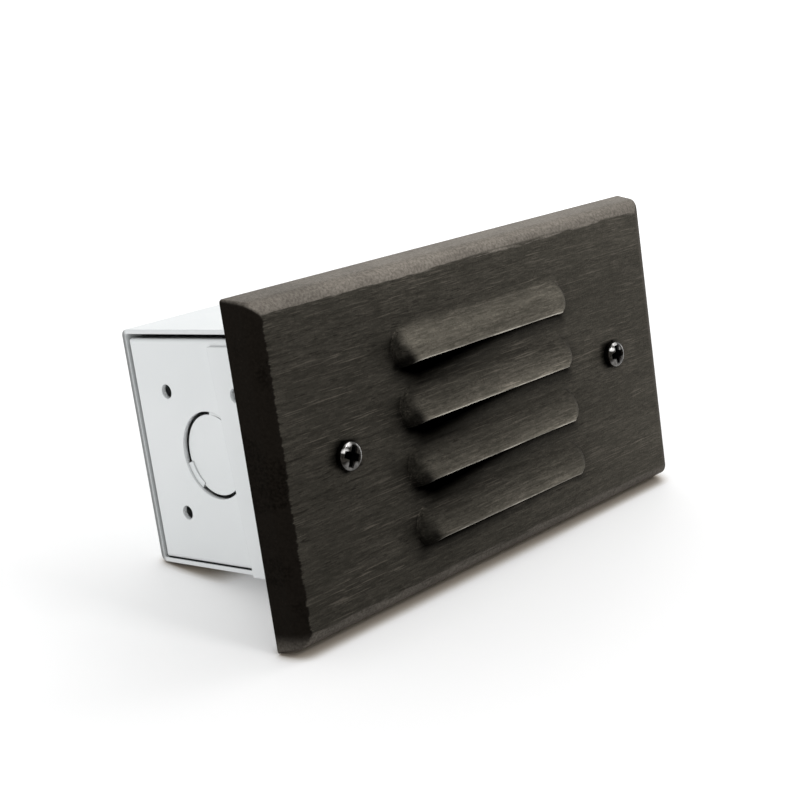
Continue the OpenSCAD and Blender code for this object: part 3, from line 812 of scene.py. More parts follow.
@dataclass(frozen=True)
class WovenSleeve(Finish):
    """Woven glass sleeve round a lead."""

    threads: float = 620.0
    turn: Point = (0.6, 1.3, 0.4)

    def band(self, graph: Graph, place: Socket) -> Socket:
        """One band of threads."""
        values = {"Vector": place, "Scale": self.threads, "Distortion": 1.0}
        return graph.add("ShaderNodeTexWave", values, bands_direction="DIAGONAL").outputs["Fac"]

    def dress(self, graph: Graph, shader: bpy.types.Node) -> None:
        """Crosses two bands of threads over the colour.

        Args:
            graph: The material's graph.
            shader: Its Principled BSDF.
        """
        place = graph.place((1, 1, 1))
        turned = graph.add("ShaderNodeMapping", {"Vector": place, "Rotation": self.turn}).outputs[0]
        weave = graph.sum("MULTIPLY", self.band(graph, place), self.band(graph, turned))
        graph.feed(shader.inputs["Base Color"], graph.mix(weave, self.second, self.colour))
        rough = graph.spread(weave, 0.0, 1.0, self.roughness + 0.1, self.roughness)
        graph.feed(shader.inputs["Roughness"], rough)
        graph.feed(shader.inputs["Normal"], graph.bump(weave, self.relief, self.relief_depth))


BRONZE = BrushedBronze(
    "dark_bronze", (0.0165, 0.0152, 0.0122), (0.041, 0.0375, 0.0308),
    roughness=0.44, metallic=1.0, specular=0.0,
    grain=1500.0, cloud=70.0, relief=0.35, relief_depth=0.00003,
)
BLACK_SCREW = PlatedScrew(
    "black_plated_screw", (0.008, 0.0075, 0.0065), (0.03, 0.027, 0.023),
    roughness=0.2, metallic=1.0, specular=0.0,
    grain=1800.0, cloud=900.0, relief=0.12, relief_depth=0.00002,
)
# The white paint gets shade painted on its tight edges, by a lift below zero, and in narrow gaps.
WHITE_PAINT = Finish(
    "painted_sheet", (0.825, 0.85, 0.855), (0.845, 0.867, 0.872), roughness=0.42, specular=0.45,
    grain=700.0, cloud=35.0, relief=0.16, relief_depth=0.00004, edge_lift=-0.4, seam_shade=1.0, coat=0.05,
)
# The wrap's paint has shade painted on the cut edge along the back of the box's ends.
WRAP_PAINT = replace(WHITE_PAINT, name="painted_wrap", roughness=0.6, specular=0.05, coat=0.0, back_edge_shade=1.0)
ZINC = Finish(
    "zinc_plate", (0.5, 0.51, 0.52), (0.6, 0.6, 0.59), roughness=0.34, metallic=1.0,
    grain=1800.0, cloud=220.0, relief=0.15, relief_depth=0.00002, edge_lift=0.4,
)
FROSTED = Finish(
    "frosted_lens", (0.86, 0.89, 0.89), (0.9, 0.92, 0.92), roughness=0.5, specular=0.5,
    grain=2600.0, cloud=60.0, relief=0.2, relief_depth=0.00003, transmission=0.6, ior=1.47,
)
QUARTZ = Finish(
    "clear_quartz", (0.97, 0.98, 0.98), (1.0, 1.0, 1.0), roughness=0.08, specular=0.5,
    grain=90.0, cloud=40.0, relief=0.03, relief_depth=0.00003, transmission=1.0, ior=1.46,
)
FOAM = Finish(
    "foam_rubber", (0.022, 0.022, 0.023), (0.034, 0.034, 0.035), roughness=0.85,
    grain=1900.0, cloud=120.0, relief=0.7, relief_depth=0.00012,
)
STEATITE = Finish(
    "steatite", (0.74, 0.7, 0.61), (0.8, 0.77, 0.69), roughness=0.6,
    grain=1400.0, cloud=90.0, relief=0.3, relief_depth=0.00005, edge_lift=0.1,
)
PLAIN_BRASS = Finish(
    "plain_brass", (0.62, 0.46, 0.2), (0.5, 0.36, 0.15), roughness=0.3, metallic=1.0,
    grain=1600.0, cloud=260.0, relief=0.15, relief_depth=0.00002, edge_lift=0.3,
)
TUNGSTEN = Finish(
    "tungsten_wire", (0.2, 0.2, 0.21), (0.28, 0.28, 0.28), roughness=0.4, metallic=1.0,
    grain=5000.0, cloud=900.0, relief=0.2, relief_depth=0.00001,
)
SLEEVE = WovenSleeve(
    "woven_sleeve", (0.78, 0.76, 0.68), (0.5, 0.48, 0.42), roughness=0.7, relief=0.8, relief_depth=0.00012,
)
CONNECTOR = Finish(
    "connector_shell", (0.5, 0.5, 0.47), (0.56, 0.56, 0.53), roughness=0.5,
    grain=1300.0, cloud=140.0, relief=0.3, relief_depth=0.00004, edge_lift=0.25,
)


def paint(piece: bpy.types.Object, finish: Finish) -> bpy.types.Object:
    """Gives a mesh one finish.

    Args:
        piece: Mesh object.
        finish: Its finish.

    Returns:
        The same object.
    """
    piece.data.materials.clear()
    piece.data.materials.append(finish.material())
    return piece


def dress_node(node: str, finish: Finish, edge: float, angle: float = 40.0) -> None:
    """Puts a finish on a CAD node and softens its edges, with its mesh left as it is.

    Args:
        node: Name of the node.
        finish: Its finish.
        edge: Radius that its edges are rounded to, in metres.
        angle: Edges sharper than this many degrees are rounded.
    """
    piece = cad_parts[node]
    paint(piece, finish)
    piece.modifiers.new("welded_poles", "WELD").merge_threshold = SPECK
    soft = piece.modifiers.new("soft_edges", "BEVEL")
    soft.width = edge
    soft.segments = 2
    soft.limit_method = "ANGLE"
    soft.angle_limit = math.radians(angle)
    soft.harden_normals = False
    log.info("dressed %s as %s", node, finish.name)


def settle(piece: bpy.types.Object, body: str, slot: str, *nodes: str) -> bpy.types.Object:
    """Makes a piece ride on its body in place of its CAD nodes.

    Args:
        piece: The finished piece.
        body: Body that carries it.
        slot: Material slot of the record; not used.
        *nodes: CAD nodes that it stands for.

    Returns:
        The piece.
    """
    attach(piece, body)
    if nodes:
        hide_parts(*nodes)
    log.info("built %s with %d faces", piece.name, len(piece.data.polygons))
    return piece


# The faceplate


@dataclass(frozen=True)
class Louver:
    """Sizes of a louver hood, and the heights of its skin over the face."""

    half: float = 33.4 * MM
    rise: float = 8.6 * MM
    out: float = 3.6 * MM
    wall: float = 1.8 * MM
    end_run: float = 3.6 * MM
    end_drop: float = 6.0
    bow: float = 18.0 * MM
    corner: float = 5.0 * MM
    low_corner: float = 3.2 * MM
    foot_blend: float = 1.8 * MM
    end_blend: float = 2.0 * MM
    lip_r: float = 0.45 * MM
    dips: Pair = (1.1 * MM, 0.4 * MM)
    dip_run: float = 7.4 * MM
    slot_drop: float = 0.4 * MM

    def ramp(self, t: float, inset: float = 0.0) -> float:
        """Height of the bowed ramp at a height above the lip.

        Args:
            t: Height above the lip.
            inset: Distance under the outer skin.

        Returns:
            Height over the face.
        """
        chord = math.hypot(self.rise, self.out)
        reach = math.sqrt(self.bow**2 - (chord / 2) ** 2)
        mid_t = self.rise / 2 - reach * self.out / chord
        mid_h = self.out / 2 - reach * self.rise / chord
        return mid_h + math.sqrt(max((self.bow - inset) ** 2 - (t - mid_t) ** 2, 0.0))

    def end(self, inside: float, inset: float = 0.0) -> float:
        """Height of the rounded end at a distance inside the louver's outline.

        Args:
            inside: Distance inside the outline.
            inset: Distance under the outer skin.

        Returns:
            Height over the face.
        """
        if inside >= self.end_run:
            return self.out - inset
        if inside < 0:
            return inside * self.end_drop
        fall = (self.end_run - inside) * self.out / self.end_run
        return math.sqrt(max((self.out - inset) ** 2 - fall**2, 0.0))

    def inside(self, x: float, t: float) -> float:
        """Distance inside the louver's outline, with its large upper and small lower corners.

        Args:
            x: Place along X.
            t: Height above the lip.

        Returns:
            The distance, below 0 outside the outline.
        """
        low = max(self.low_corner - t, 0.0)
        pull = self.low_corner - math.sqrt(max(self.low_corner**2 - low**2, 0.0))
        past_x = abs(x) - (self.half - pull - self.corner)
        past_t = t - (self.rise - self.corner)
        if past_x > 0 and past_t > 0:
            return self.corner - math.hypot(past_x, past_t)
        return min(self.half - pull - abs(x), self.rise - t)

    def height(self, x: float, t: float) -> float:
        """Height of the hood's outer skin over the face."""
        skin = smooth_min(self.ramp(t), self.end(self.inside(x, t)), self.end_blend)
        return smooth_max(skin, 0.0, self.foot_blend)

    def lip_shift(self, x: float) -> float:
        """How far the lip hangs below its straight line near its ends."""
        share = min(max(abs(x) - self.half + self.dip_run, 0.0) / self.dip_run, 1.0)
        return -self.dips[x > 0] * share**2 * (1 - ease(abs(x), self.half, self.half + self.dip_run))


@dataclass(frozen=True)
class HoodTone:
    """Painted light and shade of one hood's ramp and of the metal round it. Pairs go from its left end to its
    right.
    """

    ramp: Pair
    lip_gain: Pair = (0.0, 0.35)
    crest: float = 1.0 * MM
    ends: Pair = (0.58, 0.78)
    pool: float = 0.5
    shaded: bool = True


@dataclass(frozen=True)
class HollowTone:
    """Painted shadow below one lip. Pairs go from its left end to its right."""

    start: Pair
    reach: Pair
    bend: float = 1.0

    def black(self, across: float) -> float:
        """How far below the lip the painted shadow stays black, at a share of the way across."""
        return between(self.start, 1 - (1 - across) ** self.bend)


@dataclass(frozen=True)
class PaintedLightAndBrushing:
    """Painted light and shade on the faceplate's metal from place to place, where 1 is the plain patina, and
    how far the face is brushed.

    A run is the pair of places between which something comes in. Any other pair goes from a
    louver's left end to its right, or from least to most.
    """

    louver: Louver
    lips: tuple[float, ...]
    screw_x: float
    hoods: tuple[HoodTone, ...] = (
        HoodTone(
            (3.5, 3.5), lip_gain=(0.35, 0.35), crest=2.0 * MM, ends=(0.66, 0.86), pool=0.75, shaded=False
        ),
        HoodTone((2.8, 2.7), lip_gain=(0.35, 0.35)),
        HoodTone((2.55, 2.7)),
        HoodTone((2.3, 2.7)),
    )
    hollows: tuple[HollowTone, ...] = (
        *3 * (HollowTone((4.0 * MM, 0.0), (5.5 * MM, 5.5 * MM), bend=1.8),),
        HollowTone((1.0 * MM, 0.5 * MM), (4.5 * MM, 2.5 * MM)),
    )
    face: float = 1.16
    right_gain: float = 0.52
    right_run: Pair = (-45.0 * MM, 78.0 * MM)
    top_gain: float = 0.2
    top_run: Pair = (22.0 * MM, 34.0 * MM)
    top_left_run: Pair = (-70.0 * MM, -20.0 * MM)
    low_gain: float = 0.16
    low_run: Pair = (8.0 * MM, 30.0 * MM)
    corner_gain: float = 0.25
    corner_run: Pair = (30.0 * MM, 74.0 * MM)
    gap: float = 6.1 * MM
    hood_margin: Pair = (0.2 * MM, 3.0 * MM)
    end_margin: float = 9.0 * MM
    first_light: Pair = (0.8, 1.1)
    first_rise_run: Pair = (1.0 * MM, 5.0 * MM)
    first_fall_run: Pair = (5.0 * MM, 8.0 * MM)
    shadow_start: Pair = (4.0 * MM, 2.0 * MM)
    shadow_reach: float = 10.0 * MM
    lip_run: Pair = (0.5 * MM, 2.6 * MM)
    crest_back: float = 1.6 * MM
    steep_left: float = 4.3 * MM
    steep_slope: float = 0.6
    steep_least: Pair = (0.9 * MM, 0.2 * MM)
    end_fade: Pair = (3.8 * MM, 1.8 * MM)
    halo_start: float = 1.5 * MM
    halo_reach: Pair = (8.5 * MM, 6.0 * MM)
    within_run: Pair = (1.0 * MM, 5.0 * MM)
    left_dark: float = 0.3
    left_run: Pair = (-0.5 * MM, 1.5 * MM)
    above_run: Pair = (-3.0 * MM, 2.0 * MM)
    foot_dark: float = 0.24
    foot_at: float = 0.4 * MM
    foot_run: Pair = (0.3 * MM, 1.2 * MM)
    pool_at: Pair = (2.0 * MM, 0.8 * MM)
    pool_size: Pair = (2.8 * MM, 2.3 * MM)
    pool_run: Pair = (0.5, 1.35)
    highlight_at: float = 0.08 * MM
    highlight_run: Pair = (0.1 * MM, 0.42 * MM)
    highlight_left_run: Pair = (3.4 * MM, 8.6 * MM)
    hollow_edge: float = 0.1 * MM
    hollow_left_run: Pair = (-0.5 * MM, 9.0 * MM)
    hollow_soft: float = 0.4
    hollow_soft_run: Pair = (-1.0 * MM, 3.0 * MM)
    hollow_end_back: float = 1.5 * MM
    hollow_end_reach: Pair = (4.0 * MM, 2.5 * MM)
    ring_dark: float = 0.05
    ring_run: Pair = (3.75 * MM, 4.6 * MM)
    mitre_run: Pair = (-0.6 * MM, 0.5 * MM)
    upper_edge: Pair = (0.72, 1.0)
    upper_edge_run: Pair = (0.7 * MM, 2.2 * MM)
    upper_left: Pair = (0.8, 1.0)
    upper_left_run: Pair = (-72.0 * MM, -30.0 * MM)
    lower_share: float = 0.55
    lower_edge: float = 0.5
    lower_edge_run: Pair = (0.4 * MM, 5.2 * MM)
    right_edge: float = 0.4
    right_edge_run: Pair = (0.5 * MM, 1.6 * MM)
    border_low: float = 4.1 * MM
    border_high: float = 4.45 * MM
    end_blend: float = 0.7 * MM
    rim_blend: float = 1.4 * MM

    def brushed(self, z: float, end: float, rim: float) -> float:
        """How far the face's brushing reaches, sharply at the plate's ends and raggedly along its edges.

        Args:
            z: Place along Z.
            end: Distance from the nearer end of the plate.
            rim: Distance from its nearer long edge.

        Returns:
            The share, from 0 to 1.
        """
        border = self.border_high if z > 0 else self.border_low
        by_end = ease(end, border - self.end_blend, border + self.end_blend)
        return min(by_end, ease(rim, border - self.rim_blend, border + self.rim_blend))

    def painted_light(self, x: float, z: float, end: float, rim: float) -> float:
        """Painted light on the rounded edges: the upper edge lit from above, the lower edge lit by the floor,
        and the right half's edges paler.

        Args:
            x: Place along X.
            z: Place along Z.
            end: Distance from the nearer end of the plate.
            rim: Distance from its nearer long edge.

        Returns:
            The share, most on the upper edge.
        """
        along = ease(end - rim, *self.mitre_run)
        if z > 0:
            along *= between(self.upper_edge, ease(rim, *self.upper_edge_run))
            along *= between(self.upper_left, ease(x, *self.upper_left_run))
        else:
            along = max(self.lower_share * along, self.lower_edge * (1 - ease(rim, *self.lower_edge_run)))
        right = self.right_edge * ease(end, *self.right_edge_run) if x > 0 else 0.0
        return max(along, right)

    def open_face(self, x: float, z: float) -> float:
        """Painted light on the open face, which pales toward its right, its upper edge and its lower corner.

        Args:
            x: Place along X.
            z: Place along Z.

        Returns:
            The tone.
        """
        tone = self.face + self.right_gain * ease(x, *self.right_run)
        tone += self.top_gain * ease(z, *self.top_run) * ease(x, *self.top_left_run)
        return tone + ease(-z, *self.low_run) * (self.low_gain + self.corner_gain * ease(x, *self.corner_run))

    def ramp(self, hood: HoodTone, t: float, across: float) -> float:
        """Painted light and shade on a hood's ramp at a height above its lip, lit from above and under the
        painted shadow of the hood above it.

        Args:
            hood: The hood's tones.
            t: Height above the lip.
            across: Share of the way from the louver's left end to its right.

        Returns:
            The tone.
        """
        if hood.shaded:
            lit = self.louver.rise + self.gap - t - between(self.shadow_start, across)
            light = max(lit, 0.0) / self.shadow_reach
        else:
            low, high = self.first_light
            light = low + (high - low) * (ease(t, *self.first_rise_run) - ease(t, *self.first_fall_run))
        gain = between(hood.lip_gain, across) * (1 - ease(t, *self.lip_run))
        return between(hood.ramp, across) * light * (1 + gain)

    def on_ramp(self, hood: HoodTone, x: float, t: float, across: float) -> float:
        """Share of a place that takes the ramp's tone, which fades at its crest and its steep ends.

        Args:
            hood: The hood's tones.
            x: Place along X.
            t: Height above the lip.
            across: Share of the way from the louver's left end to its right.

        Returns:
            The share, from 0 to 1.
        """
        louver = self.louver
        share = 1 - ease(t, louver.rise - self.crest_back, louver.rise + hood.crest)
        least_left, right = self.steep_least
        start = between((max(self.steep_left - self.steep_slope * t, least_left), right), across)
        return share * ease(louver.half - abs(x), start, start + between(self.end_fade, across))

    def round_ends(self, hood: HoodTone, x: float, t: float, across: float) -> float:
        """Painted shade round a hood's ends: the share of its tone that the metal keeps there.

        Args:
            hood: The hood's tones.
            x: Place along X.
            t: Height above the lip.
            across: Share of the way from the louver's left end to its right.

        Returns:
            The share, from 0 to 1.
        """
        louver = self.louver
        beyond = abs(x) - louver.half
        foot = between(hood.ends, across)
        kept = foot + (1 - foot) * ease(beyond, self.halo_start, between(self.halo_reach, across))
        kept += (1 - kept) * ease(-beyond, *self.within_run) * across
        kept *= 1 - self.left_dark * (1 - across) * ease(-beyond, *self.left_run)
        kept += (1 - kept) * ease(t - louver.rise, *self.above_run)
        inside = louver.inside(x, min(max(t, 0.0), louver.rise))
        at_foot = 1 - ease(abs(inside - self.foot_at), *self.foot_run)
        return kept * (1 - self.foot_dark * (1 - across) * at_foot)

    def in_shade_pool(self, hood: HoodTone, x: float, t: float) -> float:
        """Share of its tone that the metal keeps in the pool of painted shade at the left end of a lip.

        Args:
            hood: The hood's tones.
            x: Place along X.
            t: Height above the lip.

        Returns:
            The share, from 0 to 1.
        """
        along = (x + self.louver.half - self.pool_at[0]) / self.pool_size[0]
        up = (t - self.pool_at[1]) / self.pool_size[1]
        return 1 - hood.pool * (1 - ease(math.hypot(along, up), *self.pool_run))

    def lip_highlight(self, x: float, t: float, h: float) -> float:
        """Painted highlight along the edge of a lip, in the colour of bare metal, most where it stands out
        farthest.

        Args:
            x: Place along X.
            t: Height above the lip.
            h: Height over the face.

        Returns:
            The share, from 0 to 1.
        """
        line = 1 - ease(abs(t - self.highlight_at), *self.highlight_run)
        share = h / self.louver.out
        raised = 0.35 * ease(share, 0.1, 0.3) + 0.65 * ease(share, 0.5, 0.8)
        return line * raised * ease(x + self.louver.half, *self.highlight_left_run)

    def in_hollow(self, hollow: HollowTone, x: float, below: float, across: float) -> float:
        """Painted shadow below a lip: the share of its tone that the face keeps at a distance below it.

        Args:
            hollow: The painted shadow below this lip.
            x: Place along X.
            below: Distance below the lip.
            across: Share of the way from the louver's left end to its right.

        Returns:
            The share, from 0 to 1.
        """
        louver = self.louver
        start = hollow.black(across) * ease(x + louver.half, *self.hollow_left_run)
        shade = min(max((below - start) / between(hollow.reach, across), 0.0), 1.0)
        if shade < self.hollow_soft:
            shade += (self.hollow_soft - shade) * (1 - ease(x + louver.half, *self.hollow_soft_run))
        end = louver.half + between(self.hollow_end_reach, across)
        return 1 - (1 - shade) * (1 - ease(abs(x), louver.half - self.hollow_end_back, end))

    def tone(self, x: float, z: float, h: float) -> Pair:
        """Painted light and shade on the metal of the face at a place, and the highlight painted on its lips.

        Args:
            x: Place along X.
            z: Place along Z.
            h: Height over the face.

        Returns:
            The tone, 1 on the open face and more on the hoods, where light is painted, and the highlight
            share.
        """
        louver = self.louver
        across = ease(x, -louver.half, louver.half)
        tone = self.open_face(x, z)
        bare_highlight = 0.0
        under, over = self.hood_margin
        for lip, hood in zip(self.lips, self.hoods):
            t = z - lip - louver.lip_shift(x)
            if -under <= t < louver.rise + over and abs(x) < louver.half + self.end_margin:
                share = self.on_ramp(hood, x, t, across)
                tone *= self.round_ends(hood, x, t, across) * (1 - share)
                tone += self.ramp(hood, t, across) * share
                tone *= self.in_shade_pool(hood, x, t)
                bare_highlight = max(bare_highlight, self.lip_highlight(x, t, h))
        for lip, hollow in zip(self.lips, self.hollows):
            below = lip + louver.lip_shift(x) - z
            if self.hollow_edge < below < self.gap:
                tone *= self.in_hollow(hollow, x, below, across)
        # Painted shade in a ring round each screw head.
        for side in (-1, 1):
            ring = ease(math.hypot(x - side * self.screw_x, z), *self.ring_run)
            tone *= self.ring_dark + (1 - self.ring_dark) * ring
        return tone, bare_highlight


@dataclass(frozen=True)
class Faceplate:
    """The cast faceplate with its louver hoods, hollow back, bosses and holes."""

    louver: Louver = Louver()
    depth: float = 8.0 * MM
    face_wall: float = 2.6 * MM
    rim: float = 3.6 * MM
    cavity_r: float = 3.0 * MM
    draft: float = math.radians(10.5)
    edge_r: float = 3.8 * MM
    edge_rows: int = 11
    side_rows: tuple[float, ...] = (0.0, 0.06, 0.3, 0.65)
    corner_r: float = 1.6 * MM
    corner_shares: Pair = (0.5, 0.95)
    corner_points: int = 7
    face_margin: float = 0.9 * MM
    lips: tuple[float, ...] = (16.5 * MM, 1.8 * MM, -12.9 * MM, -27.6 * MM)
    louver_ends: Pair = (7.5 * MM, 1.4 * MM)
    flat_rows: tuple[float, ...] = (-5.0, -4.4, -3.8, -3.2, -2.6, -2.1, -1.6, -1.15, -0.7, -0.35)
    flat_shift: Pair = (-4.5 * MM, -0.3 * MM)
    wall_rows: tuple[float, ...] = (0.0, 0.3, 0.6, 0.85)
    nose_rows: tuple[float, ...] = (0.0, 25.0, 50.0, 75.0)
    ramp_rows: int = 19
    undercut: float = 0.12 * MM
    screw_x: float = 53.0 * MM
    screw_hole_r: float = 1.84 * MM
    screw_boss_r: float = 4.2 * MM
    clip_x: float = 43.5 * MM
    clip_z: float = 18.0 * MM
    clip_hole_r: float = 1.49 * MM
    clip_boss_r: float = 2.8 * MM
    clip_seat: float = 1.4 * MM
    clip_hole_end: float = 6.1 * MM
    over: float = 1.0 * MM

    def half_size(self) -> Pair:
        """Half the width and height of the rear rim, from the CAD node."""
        low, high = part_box("faceplate")
        return (high.x - low.x) / 2, (high.z - low.z) / 2

    def section(self) -> list[Pair]:
        """Inset and depth of the side and rounded edge, from the wall to the face.

        Returns:
            Pairs of inset and depth.
        """
        side_out = self.depth - self.edge_r * (1 - math.sin(self.draft))
        side_in = side_out * math.tan(self.draft)
        middle = side_in + self.edge_r * math.cos(self.draft)
        side = [(side_in * s, side_out * s) for s in self.side_rows]
        arc = []
        for a in steps(self.draft, math.pi / 2, self.edge_rows):
            arc.append((middle - self.edge_r * math.cos(a), self.depth - self.edge_r * (1 - math.sin(a))))
        return [*side, *arc, (middle + self.face_margin, self.depth)]

    def reach(self) -> Pair:
        """Half the width and height of the face grid.

        Returns:
            Half the width and half the height.
        """
        half_w, half_h = self.half_size()
        inset = self.section()[-1][0] + self.face_margin
        return half_w - inset, half_h - inset

    def columns(self) -> list[float]:
        """Places of the face's columns along X, close together at the louvers' ends.

        Returns:
            Places from left to right.
        """
        near = self.louver.half - self.louver_ends[0]
        far = self.louver.half + self.louver_ends[1]
        right = [*steps(0.0, near, 20)[:-1], *steps(near, far, 30)[:-1], *steps(far, self.reach()[0], 12)]
        return [-x for x in reversed(right[1:])] + right

    def louver_rows(self) -> list[Row]:
        """Rows of the face grid across the louvers.

        Returns:
            The rows, from the lowest louver's foot to the top of the highest.
        """
        louver = self.louver
        pitch = self.lips[0] - self.lips[1]
        rows: list[Row] = []

        def skin(lip: float, t: float) -> Row:
            """Row on the ramp at a height above the lip."""
            hang = 1 - ease(t, 0.0, louver.rise)
            return lambda x: (lip + t + louver.lip_shift(x) * hang, louver.height(x, t))

        def wall(lip: float, share: float) -> Row:
            """Row on the flat underside edge of the lip.

            Args:
                lip: Place of the lip along Z.
                share: Share of the way up the flat.

            Returns:
                The row.
            """

            def rule(x: float) -> Pair:
                """Z and height of the row at a column's place."""
                flat_top = max(louver.height(x, louver.lip_r) - louver.lip_r, 0.0)
                return lip + louver.lip_shift(x) - self.undercut * (1 - share), flat_top * share

            return rule

        def nose(lip: float, angle: float) -> Row:
            """Row on the rounded edge of the lip.

            Args:
                lip: Place of the lip along Z.
                angle: Angle round the edge, in radians.

            Returns:
                The row.
            """

            def rule(x: float) -> Pair:
                """Z and height of the row at a column's place.

                Args:
                    x: The column's place.

                Returns:
                    Z and height.
                """
                top = louver.height(x, louver.lip_r)
                radius = min(louver.lip_r, top)
                z = lip + louver.lip_shift(x) + louver.lip_r * (1 - math.cos(angle))
                return z, top - radius + radius * math.sin(angle)

            return rule

        def flat(lip: float, t: float) -> Row:
            """Row on the face below a lip, which may still be on the foot of the louver under it.

            Args:
                lip: Place of the lip along Z.
                t: Height above the lip, below 0 here.

            Returns:
                The row.
            """
            hang = ease(t, *self.flat_shift)
            if lip == self.lips[-1]:
                return lambda x: (lip + t + louver.lip_shift(x) * hang, 0.0)
            return lambda x: (lip + t + louver.lip_shift(x) * hang, louver.height(x, t + pitch))

        for lip in sorted(self.lips):
            rows += [flat(lip, t * MM) for t in self.flat_rows]
            rows += [wall(lip, share) for share in self.wall_rows]
            rows += [nose(lip, math.radians(angle)) for angle in self.nose_rows]
            rows += [skin(lip, t) for t in steps(louver.lip_r, louver.rise + 0.6 * MM, self.ramp_rows)]
        return rows

    def rows(self) -> list[Row]:
        """All rows of the face grid from its lower edge to its upper one.

        Returns:
            The rows, each of which gives Z and height at a column's place.
        """
        rows = self.louver_rows()
        reach_x, reach_z = self.reach()
        low, high = rows[0](reach_x)[0], rows[-1](reach_x)[0]
        below = [lambda x, z=z: (z, 0.0) for z in steps(-reach_z, low, 5)[:-1]]
        above = [lambda x, z=z: (z, 0.0) for z in steps(high, reach_z, 7)[1:]]
        return [*below, *rows, *above]

    def rim_ring(
        self, inset: float, depth: float, places: Sequence[Point], corners: dict[int, int]
    ) -> list[Point]:
        """One loop round the plate, with a point for each place on the face grid's border.

        Args:
            inset: Distance inside the outline of the rear rim.
            depth: Distance in front of the wall.
            places: The border of the face grid, from its lower left corner.
            corners: Which places are corners, and the number of each corner.

        Returns:
            The loop's points, with an arc of them at each corner.
        """
        half_w, half_h = self.half_size()
        reach_x, reach_z = self.reach()
        radius = self.corner_r * between(self.corner_shares, depth / self.depth)
        a, b = half_w - inset, half_h - inset
        ring: list[Point] = []
        for number, (x, _, z) in enumerate(places):
            if number in corners:
                middle_x, middle_z = math.copysign(a - radius, x), math.copysign(b - radius, z)
                start = math.pi + corners[number] * math.pi / 2
                for turn in steps(start, start + math.pi / 2, self.corner_points):
                    along, up = radius * math.cos(turn), radius * math.sin(turn)
                    ring.append((middle_x + along, -depth, middle_z + up))
            elif abs(abs(z) - reach_z) < SPECK:
                ring.append((x * (a - radius) / reach_x, -depth, math.copysign(b, z)))
            else:
                ring.append((math.copysign(a, x), -depth, z * (b - radius) / reach_z))
        return ring

    def block(self) -> bpy.types.Object:
        """Solid outer form: rim loops round a face grid, closed flat at the back.

        Returns:
            The casting before anything is cut.
        """
        columns, rows = self.columns(), self.rows()
        verts: list[Point] = []
        for row in rows:
            for x in columns:
                z, h = row(x)
                verts.append((x, -self.depth - h, z))
        n, m = len(columns), len(rows)
        faces = [
            (i * n + j, i * n + j + 1, (i + 1) * n + j + 1, (i + 1) * n + j)
            for i in range(m - 1)
            for j in range(n - 1)
        ]
        top = (m - 1) * n
        border = [*range(n), *range(2 * n - 1, m * n, n)]
        border += [*range(top + n - 2, top - 1, -1), *range(top - n, 0, -n)]
        corners = {0: 0, n - 1: 1, n + m - 2: 2, 2 * n + m - 3: 3}
        places = [verts[k] for k in border]
        rings = [self.rim_ring(inset, depth, places, corners) for inset, depth in reversed(self.section())]
        inner: list[int] = []
        for number, corner in enumerate(border):
            inner += [corner] * (self.corner_points if number in corners else 1)
        start, count = len(verts), len(inner)
        verts += [point for ring in rings for point in ring]
        for j in range(count):
            after = (j + 1) % count
            faces.append(tuple(dict.fromkeys((inner[j], inner[after], start + after, start + j))))
            for k in range(len(rings) - 1):
                a, b = start + k * count, start + (k + 1) * count
                faces.append((a + j, a + after, b + after, b + j))
        faces.append(tuple(range(len(verts) - count, len(verts))))
        log.info("face grid of %d columns and %d rows", n, m)
        return object_from("faceplate_casting", verts, faces)

    def hollow(self, lip: float) -> bpy.types.Object:
        """Inside of one hood, which opens the slot under its lip and the face behind it.

        Args:
            lip: Place of the hood's lip along Z.

        Returns:
            A closed tool that cuts the hollow.
        """
        louver = self.louver
        reach = louver.half - louver.wall
        back = self.over + self.face_wall - self.depth
        rings = []
        for x in [*steps(-reach, 0.0, 24), *steps(0.0, reach, 24)[1:]]:
            ring = [(x, back, lip - louver.slot_drop), (x, back, lip + louver.rise)]
            for t in reversed(steps(-louver.slot_drop, louver.rise - 0.2 * MM, 14)):
                past = max(louver.inside(x, t), 0.0)
                h = min(louver.ramp(t, louver.wall), louver.end(past, louver.wall))
                ring.append((x, -self.depth - max(h, -self.face_wall), lip + t))
            rings.append(ring)
        return loft("hollow", rings)

    def mark(self, piece: bpy.types.Object) -> None:
        """Stores on each vertex how brushed the metal is, and the light, shade and highlights painted on it.

        Args:
            piece: The finished casting.
        """
        half_w, half_h = self.half_size()
        shade_map = PaintedLightAndBrushing(self.louver, self.lips, self.screw_x)
        face_back = 0.7 * self.face_wall - self.depth
        values: dict[str, list[float]] = {"brushed": [], "painted_light": [], "tone": [], "bare_highlight": []}
        for vertex in piece.data.vertices:
            x, y, z = vertex.co
            end, rim = half_w - abs(x), half_h - abs(z)
            tone, bare_highlight = shade_map.tone(x, z, -y - self.depth)
            values["brushed"].append(shade_map.brushed(z, end, rim) if y < face_back else 0.0)
            values["painted_light"].append(shade_map.painted_light(x, z, end, rim))
            values["tone"].append(tone / BRONZE.tone_top)
            values["bare_highlight"].append(bare_highlight)
        for name, numbers in values.items():
            layer = piece.data.attributes.new(name, "FLOAT", "POINT")
            layer.data.foreach_set("value", numbers)

